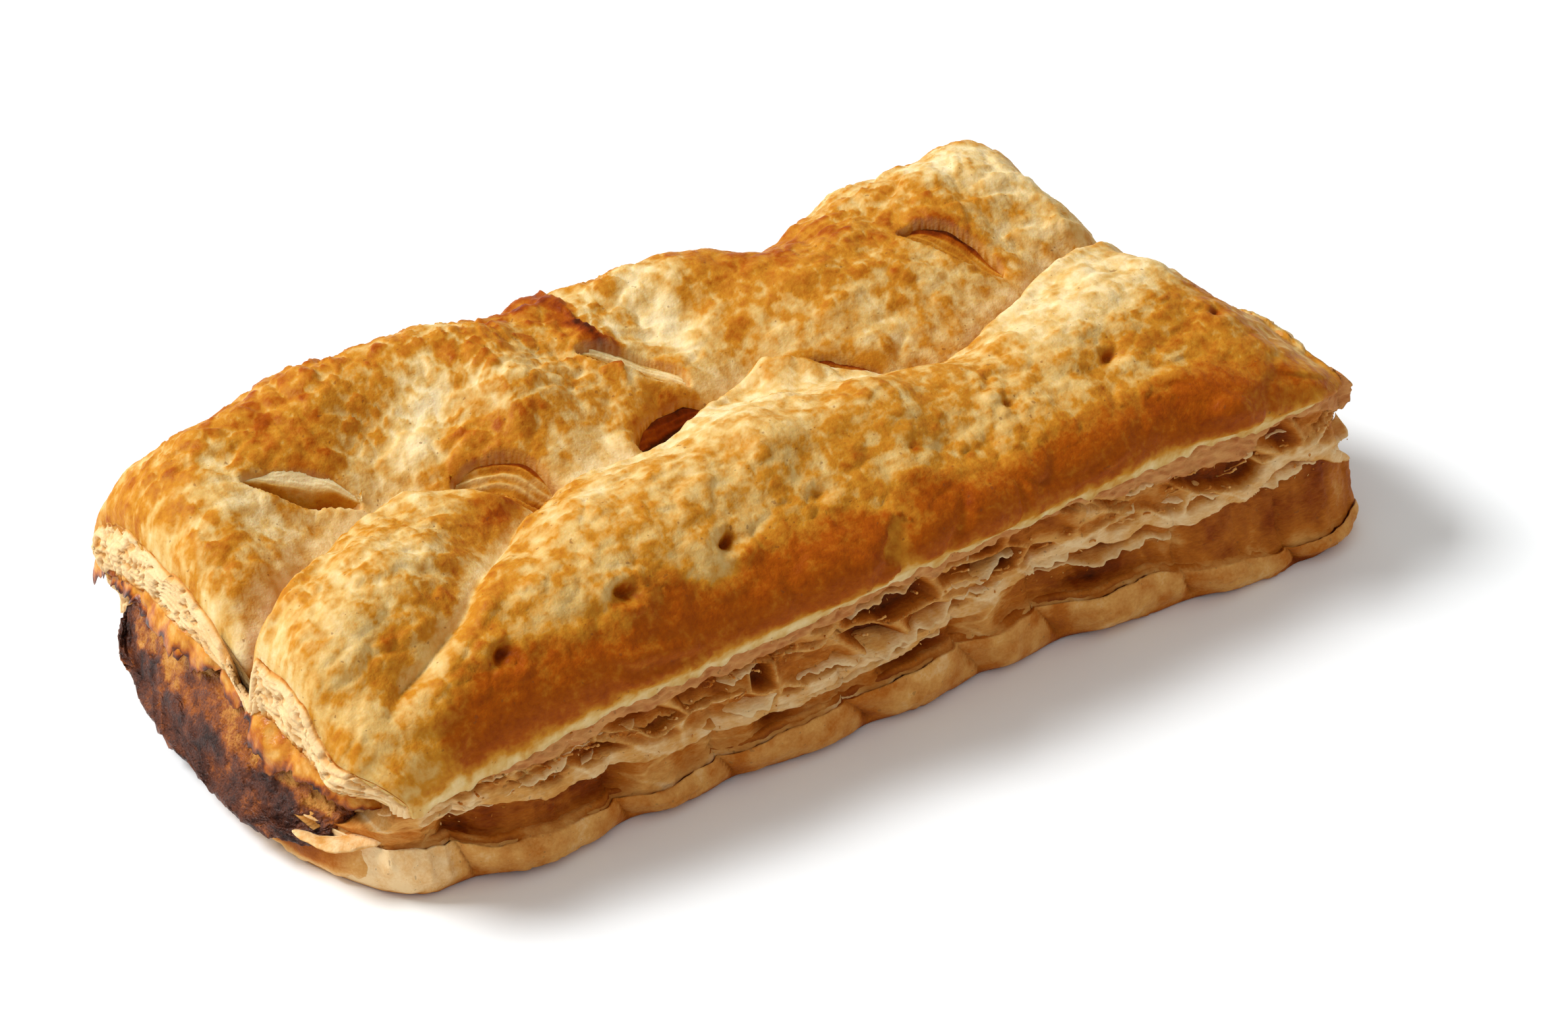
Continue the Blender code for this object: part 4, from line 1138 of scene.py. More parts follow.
# %% Cut faces
def cut_face(name, end, columns=420, rows=30):
    """The porous face of the crust at the left (-1) or right (+1) end."""
    v, run = even_columns(columns, 1.0)
    v = 0.004 + 0.992 * v
    t = np.linspace(0, 1, rows)[None, :]
    x_end = end_left(v) if end < 0 else end_right(v)
    y, z, _ = crust_surface(x_end, v, run)
    under_y, under_z = underside(x_end, 1 - v)
    run = run[:, None]
    inner_y, inner_z = under_y[:, None], under_z[:, None]
    y, z = y[:, None], z[:, None]
    yy = y + (inner_y - y) * (0.03 + 0.97 * t)
    zz = z + (inner_z - z) * (0.03 + 0.97 * t)
    depth = t * np.hypot(inner_y - y, inner_z - z)
    ru = run + 1.0 * MM * noise(run, depth, 0, 2 * MM, 161)
    first, second, own = cells(ru * 0.8, depth * 1.2, 1.4 * MM, 162)
    pore = smooth(0.02, 0.35, second - first) * np.clip(own + 0.6, 0, 1)
    tiny, tiny_second, _ = cells(ru, depth * 1.6, 0.6 * MM, 163)
    layers = np.abs(np.sin(math.pi * (depth / (0.9 * MM) + 0.8 * noise(run, depth, 0, 5 * MM, 164))))
    swell = 0.9 * np.sin(math.pi * np.clip(t, 0.02, 0.98)) + 0.5 * noise(run, depth, 0, 4 * MM, 165)
    out = swell - 0.6 * pore * (own > 0.1) - 0.15 * (tiny_second - tiny) + 0.35 * layers
    out = out * smooth(0.0, 0.08, t) * (1 - smooth(0.93, 1.0, t))
    x = x_end[:, None] + end * (out + 0.15) * MM
    # The sunk pores are painted browner, as shade in them.
    browning_and_shade = 0.06 + 0.20 * pore * (own > 0.1) - 0.06 * layers + 0.30 * (1 - smooth(0.0, 0.06, t))
    browning_and_shade = browning_and_shade + 0.55 * smooth(0.74, 1.0, t) + 0.10 * rough(run, depth, 0, 4 * MM, 166)
    rear = spread(x_end[:, None] - end * 1.4 * MM, yy, zz)
    return slab(name, spread(x, yy, zz), rear, dough_marks(browning_and_shade), WHITE_LAYERS)


cut_face_left, cut_face_right = cut_face("cut_face_left", -1), cut_face("cut_face_right", 1)

# %% [markdown]
# ## The filling
#
# Coarse sausage meat swells out of the left end and roasts there: tan and grainy on top, and a dark, glossy
# brown round its outer edge. Its form is the plain filling's, with grains of two sizes sunk into it.

# %% Roasted meat finish
def meat_finish():
    t = Tree("roasted_meat")
    fine, coarse = t.grain(0.35 * MM, 4), t.grain(1.4 * MM, 3)
    roast = t.vary(t.vary(t.mark("browning_and_shade"), coarse, 0.5), fine, 0.35, clamp=True)
    colour = t.ramp(roast, stops(
        (0.00, 216, 162, 84), (0.30, 190, 126, 50), (0.50, 148, 78, 22),
        (0.68, 98, 50, 28), (0.85, 70, 36, 24), (1.00, 40, 20, 14),
    ))
    wet = t.ramp(t.grain(0.6 * MM, 2), ((0.40, (0.52, 0.52, 0.52)), (0.60, (0.22, 0.22, 0.22))))
    t.bump((coarse, 0.35 * MM), (fine, 0.22 * MM))
    return t.finish(colour, wet, subsurface=0.06, specular=0.2)


ROASTED_MEAT = meat_finish()
print("made", ROASTED_MEAT.name)

# %% Filling mesh
MEAT_LEFT, MEAT_RIGHT = LEFT_END - 4.5 * MM, RIGHT_END - 5 * MM
NOSE, BLUNT_NOSE = 6 * MM, 2 * MM


def meat_section(x, a):
    """The filling's outline at angles a, and how far each place is on the rounded nose."""
    nose = corner_inset(x, MEAT_LEFT, NOSE) / NOSE
    nose = nose + 0.3 * corner_inset(x, MEAT_RIGHT, BLUNT_NOSE) / BLUNT_NOSE
    wide = smooth(LEFT_END + 26 * MM, LEFT_END, x)
    plain_end = smooth(46 * MM, 66 * MM, x)
    half_y = (25 + 4 * wide + 5 * plain_end) * MM * (1 - 0.25 * nose)
    half_z = (6.0 + 0.7 * wide + 1.8 * plain_end) * MM * (1 - 0.55 * nose)
    c, s = np.cos(a), np.sin(a)
    y = MEAT_CENTRE[0] + half_y * np.sign(c) * np.abs(c) ** 0.8
    sunk = (4.6 * wide + 4.0 * plain_end + 1.5 * nose) * MM
    z = MEAT_CENTRE[1] - sunk + half_z * np.sign(s) * np.abs(s) ** 0.85
    return y, z, nose


MEAT_COLUMNS, MEAT_STATIONS = 300, 200
a = np.linspace(0, 2 * math.pi, MEAT_COLUMNS + 1)[None, :-1]
u = np.linspace(0, 1, MEAT_STATIONS)[:, None]
x = MEAT_LEFT + (MEAT_RIGHT - MEAT_LEFT) * (0.10 * u + 0.90 * u ** 4)
y, z, nose = meat_section(x, a)
# The end slopes: its top sinks towards the tip, and the tip curves back on the far side.
z = z - 3.6 * MM * smooth(-76.5 * MM, -82 * MM, x) * smooth(-0.2, 0.5, np.sin(a))
z = z - 1.2 * MM * smooth(-70 * MM, -78 * MM, x)
low_tip = smooth(-76 * MM, -82 * MM, x) * smooth(0.5, -0.3, np.sin(a))
x = x - (1.3 + 0.7 * bell(y + 14 * MM, 8 * MM)) * MM * low_tip
bend = 5.0 * np.clip(y / (30 * MM), 0, 2) ** 2 + 2.6 * np.clip(-y / (26 * MM), 0, 2) ** 2
x = x + bend * MM * smooth(-66 * MM, -80 * MM, x)
round_run = a * 15 * MM + 0 * x
grain_one, _, own = cells(x, round_run, 2.2 * MM, 171)
bead_one, _, _ = cells(x, round_run, 0.9 * MM, 172)
lump = 0.6 * noise(x, 3 * a * MM * 4, 0, 8 * MM, 21) + 0.8 * (0.6 - grain_one) * (own > -0.3)
lump = lump + 0.6 * (0.5 - bead_one) + 0.9 * rough(x, y, z, 1.6 * MM, 173) - 0.4
y, z = y + lump * MM * np.cos(a), z + lump * MM * np.sin(a)
x = x + 0.5 * MM * smooth(0.3, 1.0, nose) * (rough(0, y, z, 2.0 * MM, 174) + 0.6)
# Juice browned what lies low and what faces down.
dark_line = z + 1.2 * MM * smooth(8 * MM, 24 * MM, y) + 1.0 * MM * rough(x, y, 0, 5 * MM, 175)
dark = smooth(10.0 * MM, 8.8 * MM, dark_line - 0.4 * MM * noise(x, y, 0, 1.5 * MM, 177))
dark = np.maximum(dark, 1 - smooth(0.15, 0.6, np.sin(a)))
orange = smooth(0.15, 0.6, noise(x, y, 0, 3.2 * MM, 178)) * (1 - dark)
browning_and_shade = 0.40 + 0.37 * dark + 0.20 * orange + 0.34 * rough(x, y, z, 3.2 * MM, 176) + 0.20 * (grain_one - 0.4)
meat = tube("meat", spread(x, y, z), dough_marks(browning_and_shade), ROASTED_MEAT)

# %% [markdown]
# ## The burnt films
#
# Juice and the innermost layers baked to a brown, glassy film that hangs from the left cut end down on to the
# meat, with nearly black torn edges. The sheet helper makes them too, with their own glossy finish.

# %% Films
def film_finish():
    t = Tree("burnt_film")
    coarse, fine = t.grain(1.8 * MM, 3), t.grain(0.4 * MM, 3)
    browning_and_shade = t.vary(t.mark("browning_and_shade"), coarse, 1.1, clamp=True)
    colour = t.ramp(browning_and_shade, stops(
        (0.00, 236, 188, 112), (0.35, 212, 140, 44), (0.60, 176, 92, 12),
        (0.82, 104, 44, 8), (1.00, 44, 18, 6),
    ))
    t.bump((coarse, 0.25 * MM), (fine, 0.08 * MM))
    return t.finish(colour, 0.3, subsurface=0.2, specular=0.25)


BURNT_FILM = film_finish()
FILM_THICKNESS, FILM_COLUMNS = 0.32, 150  # thickness in mm
FILMS = (  # root path, edge path, bow in mm, torn share, brownness, edge brownness
    (((-75.8, 34, 15), (-77.0, 27, 18.4), (-77.4, 18, 19.0), (-77.4, 8, 19.0), (-77.0, -1, 18.6),
      (-75.8, -6, 18)),
     ((-77.6, 35.5, 8.5), (-79.4, 27, 12.2), (-79.8, 18, 13.0), (-79.6, 8, 12.8), (-79.4, 0, 13.0),
      (-78.0, -6.5, 12)),
     (-0.7, 0, 0.5), 0.55, 0.38, 0.42),
    (((-76.8, -7, 19.4), (-76.8, -14, 18.2), (-75.8, -21, 16.4), (-73.6, -27, 14.2), (-71, -30, 12.4)),
     ((-79.2, -6.5, 13.0), (-80.0, -13, 12.0), (-79.4, -20, 10.0), (-77.2, -25.5, 9.4), (-74.4, -29.5, 8.6)),
     (-1.0, -0.3, 0.7), 0.5, 0.36, 0.46),
    (((-76.4, 30, 16.0), (-76.6, 22, 17.2), (-76.6, 12, 17.2), (-76.4, 2, 17.0)),
     ((-78.8, 29, 12.8), (-79.4, 22, 14.0), (-79.6, 12, 14.0), (-79.2, 3, 14.2)),
     (-0.5, 0, 0.6), 0.6, 0.50, 0.40),
)
film_pieces = []
for number, (root, edge, bow, torn, brown, edge_brown) in enumerate(FILMS):
    name = f"burnt_film_{number + 1}"
    paths = spline(root, FILM_COLUMNS), spline(edge, FILM_COLUMNS)
    film_pieces.append(sheet(name, *paths, bow, FILM_THICKNESS, torn, 200 + 20 * number, brown, edge_brown,
                             BURNT_FILM, rows=24, ripple=0.9))

# %% [markdown]
# ## The rolled edge at the swollen end
#
# Under the filling the base sheet's edge has rolled up: reddish brown where juice ran over it, cream at the
# near corner, with one oval fold of dough lying on it. Both are tubes along a curve.

# %% Rolled edge and fold
def rope(name, path, half_out, half_up, seed, marks_of, material, count=220, sides=40):
    """A soft tube along a path, wider or higher as its two half sizes along the path say."""
    centre = spline(path, count)
    heading = unit(np.gradient(centre, axis=0))
    up = np.broadcast_to(np.array([0.0, 0.0, 1.0]), heading.shape)
    out = unit(np.cross(heading, up))
    up = unit(np.cross(out, heading))
    s = np.linspace(0, 1, count)[:, None]
    a = np.linspace(0, 2 * math.pi, sides, endpoint=False)[None, :]
    shrink = np.sqrt(np.clip(1 - np.abs(2 * s - 1) ** 8, 0.01, 1))
    lumps = 1 + 0.16 * noise(s * 60, 3 * np.cos(a), 3 * np.sin(a), 3.2, seed)
    lumps = lumps + 0.05 * noise(s * 60, 3 * np.cos(a), 3 * np.sin(a), 1.1, seed + 1)
    width = np.interp(s, np.linspace(0, 1, len(half_out)), half_out) * MM * shrink * lumps
    height = np.interp(s, np.linspace(0, 1, len(half_up)), half_up) * MM * shrink * lumps
    points = centre[:, None] + out[:, None] * (width * np.cos(a))[..., None]
    points = points + up[:, None] * (height * np.sin(a))[..., None]
    points[..., 2] = np.maximum(points[..., 2], 0.05 * MM)
    return tube(name, points, marks_of(a, points), material)


def edge_marks(_, points):
    """Browned by juice where it stands up, away from the near corner."""
    x, y, z = (points[..., i] for i in range(3))
    red = smooth(-32 * MM, -22 * MM, y) * smooth(1.6 * MM, 3.2 * MM, z)
    browning_and_shade = 0.16 + 0.52 * red + 0.12 * rough(x, y, z, 3 * MM, 181)
    return dough_marks(browning_and_shade)


rolled_edge = rope(
    "rolled_edge",
    ((-71, 35, 2.4), (-74, 27, 2.4), (-76, 14, 2.4), (-77, 4, 2.6), (-78.4, -10, 3.2), (-77.6, -20, 3.8),
     (-74.5, -27.5, 4.2), (-69.5, -33, 4.2)),
    (1.8, 2.2, 2.4, 2.4, 2.6, 3.0, 3.0, 2.6), (2.4, 2.5, 2.5, 2.6, 3.0, 3.6, 3.8, 3.6), 182, edge_marks,
    BASE_DOUGH)


def flap_marks(a, points):
    """Browned in spots, and darker along its underside."""
    x, y, z = (points[..., i] for i in range(3))
    browning_and_shade = 0.14 + 0.26 * rough(x, y, z, 1.6 * MM, 186) + 0.24 * smooth(0.3, -0.6, np.sin(a))
    return dough_marks(browning_and_shade)


rolled_flap = rope(
    "rolled_flap",
    ((-81.0, -21.5, 6.8), (-78.4, -27.2, 7.2), (-73.6, -29.6, 8.4), (-71.4, -27.6, 9.6), (-73.6, -24.6, 9.8),
     (-77.6, -22.4, 8.8)),
    (0.8, 1.5, 2.0, 2.0, 1.6, 0.9), (0.4, 0.5, 0.55, 0.5, 0.45, 0.3), 187, flap_marks, BASE_DOUGH,
    count=160, sides=24)

# %% [markdown]
# ## Inside the slits
#
# A knife cut each slit through the skin only, so raw layers below swelled up into it. Each gets a wedge of
# layers that rises from the front, painted dark there as shade in the gap, and dips under the skin at the
# back, painted darker there as shade under the far lip. Rays cast down on to the crust tell how high it
# stands beside the slit.

# %% Layers inside the slits
# In the deep slits the brownness is partly painted shade.
SLIT_LAYERS = (  # front edge share, drop at front and at back, roll (mm), brownness, layering
    (0.30, 0.9, 1.9, 0.7, 0.12, 0.2), (-0.20, 3.4, 1.7, 0.4, 0.42, 0.8), (0.10, 1.8, 1.4, 0.7, 0.24, 0.4),
    (0.50, 4.4, 1.6, 0.2, 0.80, 0.4), (0.30, 3.0, 1.4, 0.2, 0.60, 0.3), (-0.20, 3.0, 1.2, 0.1, 0.56, 0.4),
)
crust_tree = BVHTree.FromObject(crust, bpy.context.evaluated_depsgraph_get())


def heights(x, y):
    """Height of the crust under each x, y."""
    down = Vector((0, 0, -1))
    found = [crust_tree.ray_cast(Vector((a, b, 100 * MM)), down)[0] for a, b in zip(np.ravel(x), np.ravel(y))]
    return np.array([place.z if place else 30 * MM for place in found]).reshape(np.shape(x))


def evened(values, reach=20):
    """A row of values averaged over its neighbours."""
    kernel = np.hanning(2 * reach + 3)[1:-1]
    padded = np.pad(values, reach, mode="edge")
    return np.convolve(padded, kernel / kernel.sum(), mode="valid")


def slit_place(slit, p, q):
    """x and y of the place p along a slit and q across it, in mm from its middle."""
    angle = math.radians(slit[4])
    x = slit[0] + p * math.cos(angle) - q * math.sin(angle)
    y = slit[1] + p * math.sin(angle) + q * math.cos(angle)
    return x * MM, y * MM


LAYER_COLUMNS, LAYER_ROWS, LAYER_THICKNESS = 150, 40, 1.2 * MM
slit_pieces = []
for number, (slit, inner) in enumerate(zip(SLITS, SLIT_LAYERS)):
    long, wide = slit[2:4]
    front_share, front_drop, back_drop, roll, brown, layering = inner
    seed = 300 + 20 * number
    along_p = np.linspace(-1.02, 1.02, LAYER_COLUMNS) * long
    room = np.clip(1 - (along_p / (1.04 * long)) ** 2, 0, 1) ** 0.7 * wide
    front_z = evened(heights(*slit_place(slit, along_p, -SLIT_FRONT * room - 1.2)))[:, None]
    back_z = evened(heights(*slit_place(slit, along_p, SLIT_REAR * room + 1.6)))[:, None]
    t = np.linspace(0, 1, LAYER_ROWS)[None, :]
    p, width = along_p[:, None], room[:, None]
    q = width * front_share + (1.7 * width - width * front_share + 0.4) * t
    x, y = slit_place(slit, p, q)
    line = front_z + (back_z - front_z) * (q / (width + 1e-6) + SLIT_FRONT) / (SLIT_FRONT + SLIT_REAR)
    full = (width / wide) ** 0.7
    drop = front_drop * full * (1 - t) ** 1.3 + back_drop * t ** 0.8
    drop = drop - roll * full * np.sin(math.pi * t) + 0.5
    stripes = np.abs(np.sin(math.pi * (6 * t + 0.7 * noise(p, 0, t * 3, 5, seed) + 0.05 * p)))
    drop = drop + layering * 0.35 * stripes - 0.35 * rough(p / 4, 0, t * 4, 0.8, seed + 1)
    drop = drop + 2.5 * (1 - smooth(0.0, 0.10, t))
    z = line - drop * MM
    # The front, down in the gap, and the back, under the far lip, are painted darker as shade; the stripes
    # are the layers' own brown.
    browning_and_shade = brown + 0.20 * layering * (stripes - 0.4) + 0.50 * (1 - smooth(0.0, 0.35, t))
    browning_and_shade = browning_and_shade + 0.45 * smooth(0.50, 0.85, t) + 0.1 * rough(p / 2, 0, t * 4, 2.5, seed + 2)
    top, below = spread(x, y, z), spread(x, y, z - LAYER_THICKNESS)
    slit_pieces.append(slab(f"slit_layers_{number + 1}", top, below, dough_marks(browning_and_shade), GOLDEN_CRUST))

# %% [markdown]
# ## Loose flakes
#
# Flakes the size of a pinhead cling to the seam's torn edges. They follow a path and repeat, so a Geometry
# Nodes tree makes them: it walks along the paths at an even spacing, drops a flat chip at each point, and
# turns and scales each one by chance with a fixed seed.

# %% Node tree helpers
def start_tree(name, inputs):
    """A Geometry Nodes tree with geometry in and out and rows of (name, kind, default) as its inputs."""
    tree = bpy.data.node_groups.new(name, "GeometryNodeTree")
    for direction in ("INPUT", "OUTPUT"):
        tree.interface.new_socket("Geometry", in_out=direction, socket_type="NodeSocketGeometry")
    sockets = {}
    for title, kind, default in inputs:
        socket = tree.interface.new_socket(title, in_out="INPUT", socket_type="NodeSocket" + kind)
        if default is not None:
            socket.default_value = default
        sockets[title] = socket.identifier
    return tree, sockets


def add_node(tree, kind, settings=(), **values):
    """A node with its settings, and fixed values for its inputs by number (as _0, _1) or by name."""
    node = tree.nodes.new(kind)
    for key, value in dict(settings).items():
        setattr(node, key, value)
    for key, value in values.items():
        node.inputs[int(key[1:]) if key[0] == "_" else key].default_value = value
    return node


def finish_tree(tree, given, last):
    """Turn what is grown into real geometry, give it its material, and hand it out."""
    realize = add_node(tree, "GeometryNodeRealizeInstances")
    paint = add_node(tree, "GeometryNodeSetMaterial")
    link_all(tree, (
        (last, realize.inputs[0]),
        (realize.outputs[0], paint.inputs["Geometry"]),
        (given.outputs["Finish"], paint.inputs["Material"]),
        (paint.outputs[0], add_node(tree, "NodeGroupOutput").inputs[0]),
    ))


def link_all(tree, pairs):
    """Links in a tree, from pairs of source and target sockets."""
    for source, target in pairs:
        tree.links.new(source, target)


def grown(name, paths, built_tree, **values):
    """What a node tree grows along paths of points, as one plain mesh. Values are its inputs by name."""
    edges, start = [], 0
    for path in paths:
        edges += [(start + i, start + i + 1) for i in range(len(path) - 1)]
        start += len(path)
    guide_mesh = bpy.data.meshes.new(name + "_paths")
    guide_mesh.from_pydata(np.concatenate(paths).tolist(), edges, [])
    guide = bpy.data.objects.new(name + "_paths", guide_mesh)
    bpy.context.scene.collection.objects.link(guide)
    tree, sockets = built_tree
    modifier = guide.modifiers.new("grown", "NODES")
    modifier.node_group = tree
    for key, value in values.items():
        modifier[sockets[key]] = value
    evaluated = guide.evaluated_get(bpy.context.evaluated_depsgraph_get())
    mesh = bpy.data.meshes.new_from_object(evaluated)
    guide.modifiers.clear()
    bpy.data.objects.remove(guide)
    mesh.name = name
    # Every dozen points, about one chip, is browned alike.
    chip = np.arange(len(mesh.vertices)) // 12
    browning_and_shade = mesh.attributes.new("browning_and_shade", "FLOAT", "POINT")
    browning_and_shade.data.foreach_set("value", 0.34 + 0.16 * lattice(chip, 0 * chip, 0 * chip, 9))
    mesh.shade_smooth()
    obj = bpy.data.objects.new(name, mesh)
    bpy.context.scene.collection.objects.link(obj)
    print(name, len(mesh.polygons), "faces")
    return obj


# %% Flake tree
def flake_tree():
    """Flat chips at an even spacing along paths, shifted, turned and scaled by chance."""
    tree, sockets = start_tree("flakes_along_paths", (
        ("Spacing", "Float", 1.1 * MM), ("Chip Radius", "Float", 0.24 * MM), ("Scatter", "Float", 0.5 * MM),
        ("Seed", "Int", 7), ("Finish", "Material", None),
    ))
    given, to_curve = add_node(tree, "NodeGroupInput"), add_node(tree, "GeometryNodeMeshToCurve")
    resample = add_node(tree, "GeometryNodeResampleCurve", {"mode": "LENGTH"})
    to_points = add_node(tree, "GeometryNodeCurveToPoints", {"mode": "EVALUATED"})
    move, place = add_node(tree, "GeometryNodeSetPosition"), add_node(tree, "GeometryNodeInstanceOnPoints")
    by_chance, vector = "FunctionNodeRandomValue", {"data_type": "FLOAT_VECTOR"}
    shift = add_node(tree, by_chance, vector)
    turn = add_node(tree, by_chance, vector, _1=(math.tau, math.tau, math.tau))
    size = add_node(tree, by_chance, vector, _0=(0.4, 0.3, 0.12), _1=(1.5, 1.0, 0.4))
    low = add_node(tree, "ShaderNodeVectorMath", {"operation": "SCALE"}, _0=(-1, -1, -1))
    high = add_node(tree, "ShaderNodeVectorMath", {"operation": "SCALE"}, _0=(1, 1, 1))
    ball = add_node(tree, "GeometryNodeMeshIcoSphere", Subdivisions=1)
    link_all(tree, (
        (given.outputs["Geometry"], to_curve.inputs[0]),
        (to_curve.outputs[0], resample.inputs["Curve"]),
        (given.outputs["Spacing"], resample.inputs["Length"]),
        (resample.outputs[0], to_points.inputs[0]),
        (to_points.outputs["Points"], move.inputs["Geometry"]),
        (given.outputs["Scatter"], low.inputs["Scale"]),
        (given.outputs["Scatter"], high.inputs["Scale"]),
        (low.outputs[0], shift.inputs[0]),
        (high.outputs[0], shift.inputs[1]),
        (shift.outputs[0], move.inputs["Offset"]),
        (move.outputs[0], place.inputs["Points"]),
        (given.outputs["Chip Radius"], ball.inputs["Radius"]),
        (ball.outputs["Mesh"], place.inputs["Instance"]),
        (turn.outputs[0], place.inputs["Rotation"]),
        (size.outputs[0], place.inputs["Scale"]),
    ))
    link_all(tree, ((given.outputs["Seed"], node.inputs["Seed"]) for node in (shift, turn, size)))
    finish_tree(tree, given, place.outputs[0])
    return tree, sockets


# %% [markdown]
# ## Stretched strands
#
# Where two layers came apart, thin strands of dough still join them. A second tree softens short paths, moves
# their points by chance with a fixed seed, and sweeps a circle along them that is widest at both ends.

# %% Strand tree
def strand_tree():
    """Thin strands along paths, thicker at both ends than in the middle."""
    tree, sockets = start_tree("stretched_strands", (
        ("Strand Radius", "Float", 0.11 * MM), ("Seed", "Int", 3), ("Finish", "Material", None),
    ))
    given, to_curve = add_node(tree, "NodeGroupInput"), add_node(tree, "GeometryNodeMeshToCurve")
    soften = add_node(tree, "GeometryNodeResampleCurve", Count=12)
    place = add_node(tree, "GeometryNodeSplineParameter")
    waist = add_node(tree, "ShaderNodeMath", {"operation": "SUBTRACT"}, _1=0.5)
    ends = add_node(tree, "ShaderNodeMath", {"operation": "ABSOLUTE"})
    thick = add_node(tree, "ShaderNodeMath", {"operation": "MULTIPLY_ADD"}, _1=1.8, _2=0.7)
    shift = add_node(tree, "FunctionNodeRandomValue", {"data_type": "FLOAT_VECTOR"},
                     _0=(-0.12 * MM,) * 3, _1=(0.12 * MM,) * 3)
    move, size = add_node(tree, "GeometryNodeSetPosition"), add_node(tree, "GeometryNodeSetCurveRadius")
    circle = add_node(tree, "GeometryNodeCurvePrimitiveCircle", Resolution=8)
    sweep = add_node(tree, "GeometryNodeCurveToMesh")
    sweep.inputs["Fill Caps"].default_value = True
    link_all(tree, (
        (given.outputs["Geometry"], to_curve.inputs[0]),
        (to_curve.outputs[0], soften.inputs["Curve"]),
        (soften.outputs[0], move.inputs["Geometry"]),
        (given.outputs["Seed"], shift.inputs["Seed"]),
        (shift.outputs[0], move.inputs["Offset"]),
        (place.outputs["Factor"], waist.inputs[0]),
        (waist.outputs[0], ends.inputs[0]),
        (ends.outputs[0], thick.inputs[0]),
        (move.outputs[0], size.inputs["Curve"]),
        (thick.outputs[0], size.inputs["Radius"]),
        (given.outputs["Strand Radius"], circle.inputs["Radius"]),
        (size.outputs[0], sweep.inputs["Curve"]),
        (circle.outputs[0], sweep.inputs["Profile Curve"]),
    ))
    if "Scale" in sweep.inputs:
        tree.links.new(thick.outputs[0], sweep.inputs["Scale"])
    finish_tree(tree, given, sweep.outputs[0])
    return tree, sockets


# %% Flakes at the seam
lip_x = np.linspace(-70, 73, 400) * MM
lip_y, lip_z = lip_place(lip_x)
seam_paths = [np.stack([lip_x, lip_y + 0.5 * MM, lip_z - 0.2 * MM], axis=1)]
for number, (x0, x1, w0, w1, out, droop, _, _) in enumerate(SEAM_SHEETS):
    x = np.linspace(x0 + 1, x1 - 1, 60) * MM
    w = w0 + (w1 - w0) * smooth(x[0], x[-1], x)
    y, z = seam_place(x, w, (1.2 + ROOT_BACK - out) * MM)
    seam_paths.append(np.stack([x, y, z - droop * 0.6 * MM], axis=1))
seam_flakes = grown("seam_flakes", seam_paths, flake_tree(), Spacing=1.7 * MM, Seed=7, Finish=TORN_LAYERS)

# %% Strands across the seam
def strand_paths(count, seed):
    """Short bowed paths from a sheet's edge down to the layer below it, in groups along the seam."""
    number = np.arange(count)
    chance = [0.5 + 0.5 * lattice(number, 0 * number + k, 0 * number, seed) for k in range(6)]
    x = (-70 + 142 * (number + 0.8 * chance[0]) / count) * MM
    top = 0.56 + 0.26 * chance[1]
    length = (0.08 + 0.12 * chance[2]) * (0.6 + 0.4 * smooth(-60 * MM, -20 * MM, x))
    lean = (chance[3] - 0.75) * 3.6 * MM
    t = np.linspace(0, 1, 7)[:, None]
    y, z = seam_place(x, top - length * t, (0.2 + 0.8 * chance[4] + 3.0 * t) * MM)
    bowed = 0.8 * MM * np.sin(math.pi * t) * (chance[5] - 0.5)
    points = spread(x + lean * t, y + bowed, z)
    return [points[:, i] for i in range(count)]


STRAND_COUNT, STRAND_SEED = 70, 31
paths = strand_paths(STRAND_COUNT, STRAND_SEED)
seam_strands = grown("seam_strands", paths, strand_tree(), Seed=5, Finish=TORN_LAYERS)

# %% [markdown]
# ## The floor and the light
#
# A pale floor and one large soft lamp, high behind the roll on the left, with a bright room all round. The
# seam side is then in soft shade, and the roll's own shadow falls to the front right.

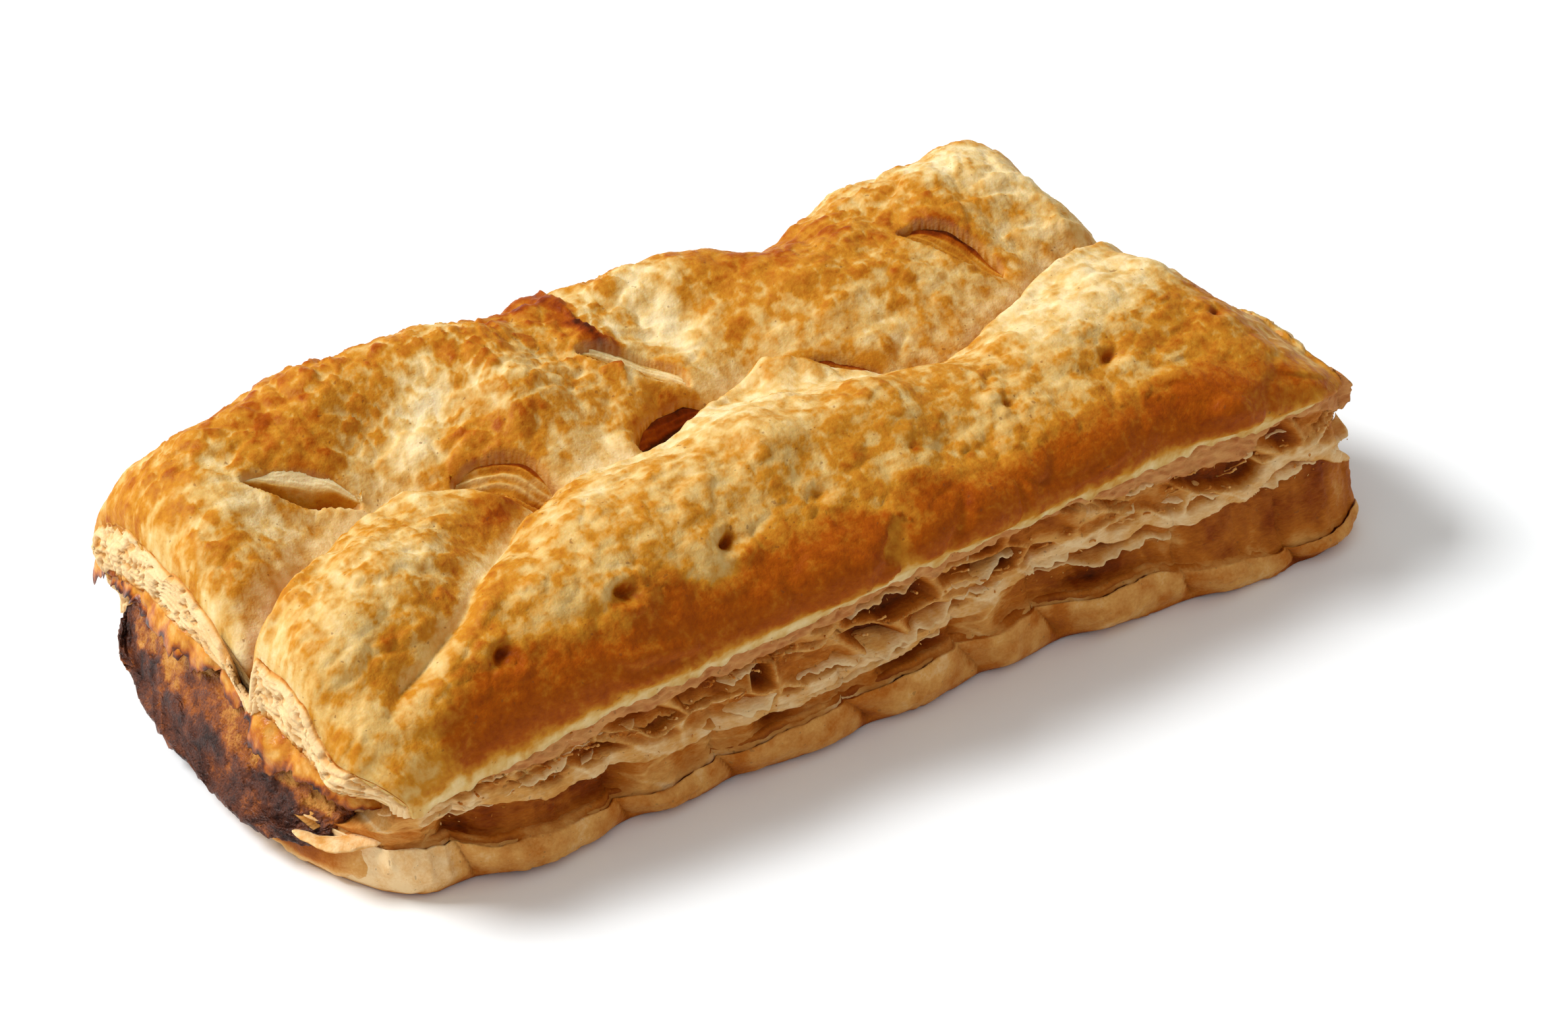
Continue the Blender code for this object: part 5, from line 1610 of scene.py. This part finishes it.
# %% Floor, lamp and room
FLOOR_SIZE, FLOOR_GRAIN = 4, 0.4
LAMP_PLACE, LAMP_SIZE, LAMP_POWER = Vector((-0.82, 0.76, 1.2)), 0.62, 29
LAMP_AIM, LAMP_COLOUR = Vector((0, 0, 0.01)), (0.99, 1.0, 1.0)
ROOM_COLOUR, ROOM_LIGHT = (1.0, 0.985, 0.95, 1), 0.53

bpy.ops.mesh.primitive_plane_add(size=FLOOR_SIZE)
floor = bpy.context.object
floor.name = "floor"
floor_tree = Tree("pale_floor")
pale = ((0.0, (0.94, 0.96, 0.98)), (1.0, (0.96, 0.98, 1.0)))
floor_shade = floor_tree.ramp(floor_tree.grain(FLOOR_GRAIN), pale)
floor.data.materials.append(floor_tree.finish(floor_shade, 0.7))

lamp_data = bpy.data.lights.new("soft_lamp", "AREA")
lamp_data.size, lamp_data.energy, lamp_data.color = LAMP_SIZE, LAMP_POWER, LAMP_COLOUR
lamp = bpy.data.objects.new("soft_lamp", lamp_data)
lamp.location = LAMP_PLACE
lamp.rotation_euler = (LAMP_AIM - LAMP_PLACE).to_track_quat("-Z", "Y").to_euler()
bpy.context.scene.collection.objects.link(lamp)
world = bpy.data.worlds.new("room")
bpy.context.scene.world = world
world.use_nodes = True
room_light = world.node_tree.nodes["Background"]
room_light.inputs[0].default_value = ROOM_COLOUR
room_light.inputs[1].default_value = ROOM_LIGHT
bpy.context.scene.view_settings.view_transform = "Standard"
print("lit by", lamp.name)

# %% [markdown]
# ## Riding on the frame
#
# Every piece belongs to the frame's one body. The crust and what is round it stand for the plain pastry,
# and the detailed filling stands for the plain one.

# %% Tie the pieces to the frame
PASTRY_PIECES = [crust, base_sheet, seam_wall_piece, *sheet_pieces, cut_face_left, cut_face_right]
PASTRY_PIECES += [*film_pieces, rolled_edge, rolled_flap, *slit_pieces, seam_flakes, seam_strands]
for piece in PASTRY_PIECES:
    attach(piece, "root")
    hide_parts("pastry")
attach(meat, "root")
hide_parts("sausage_meat")
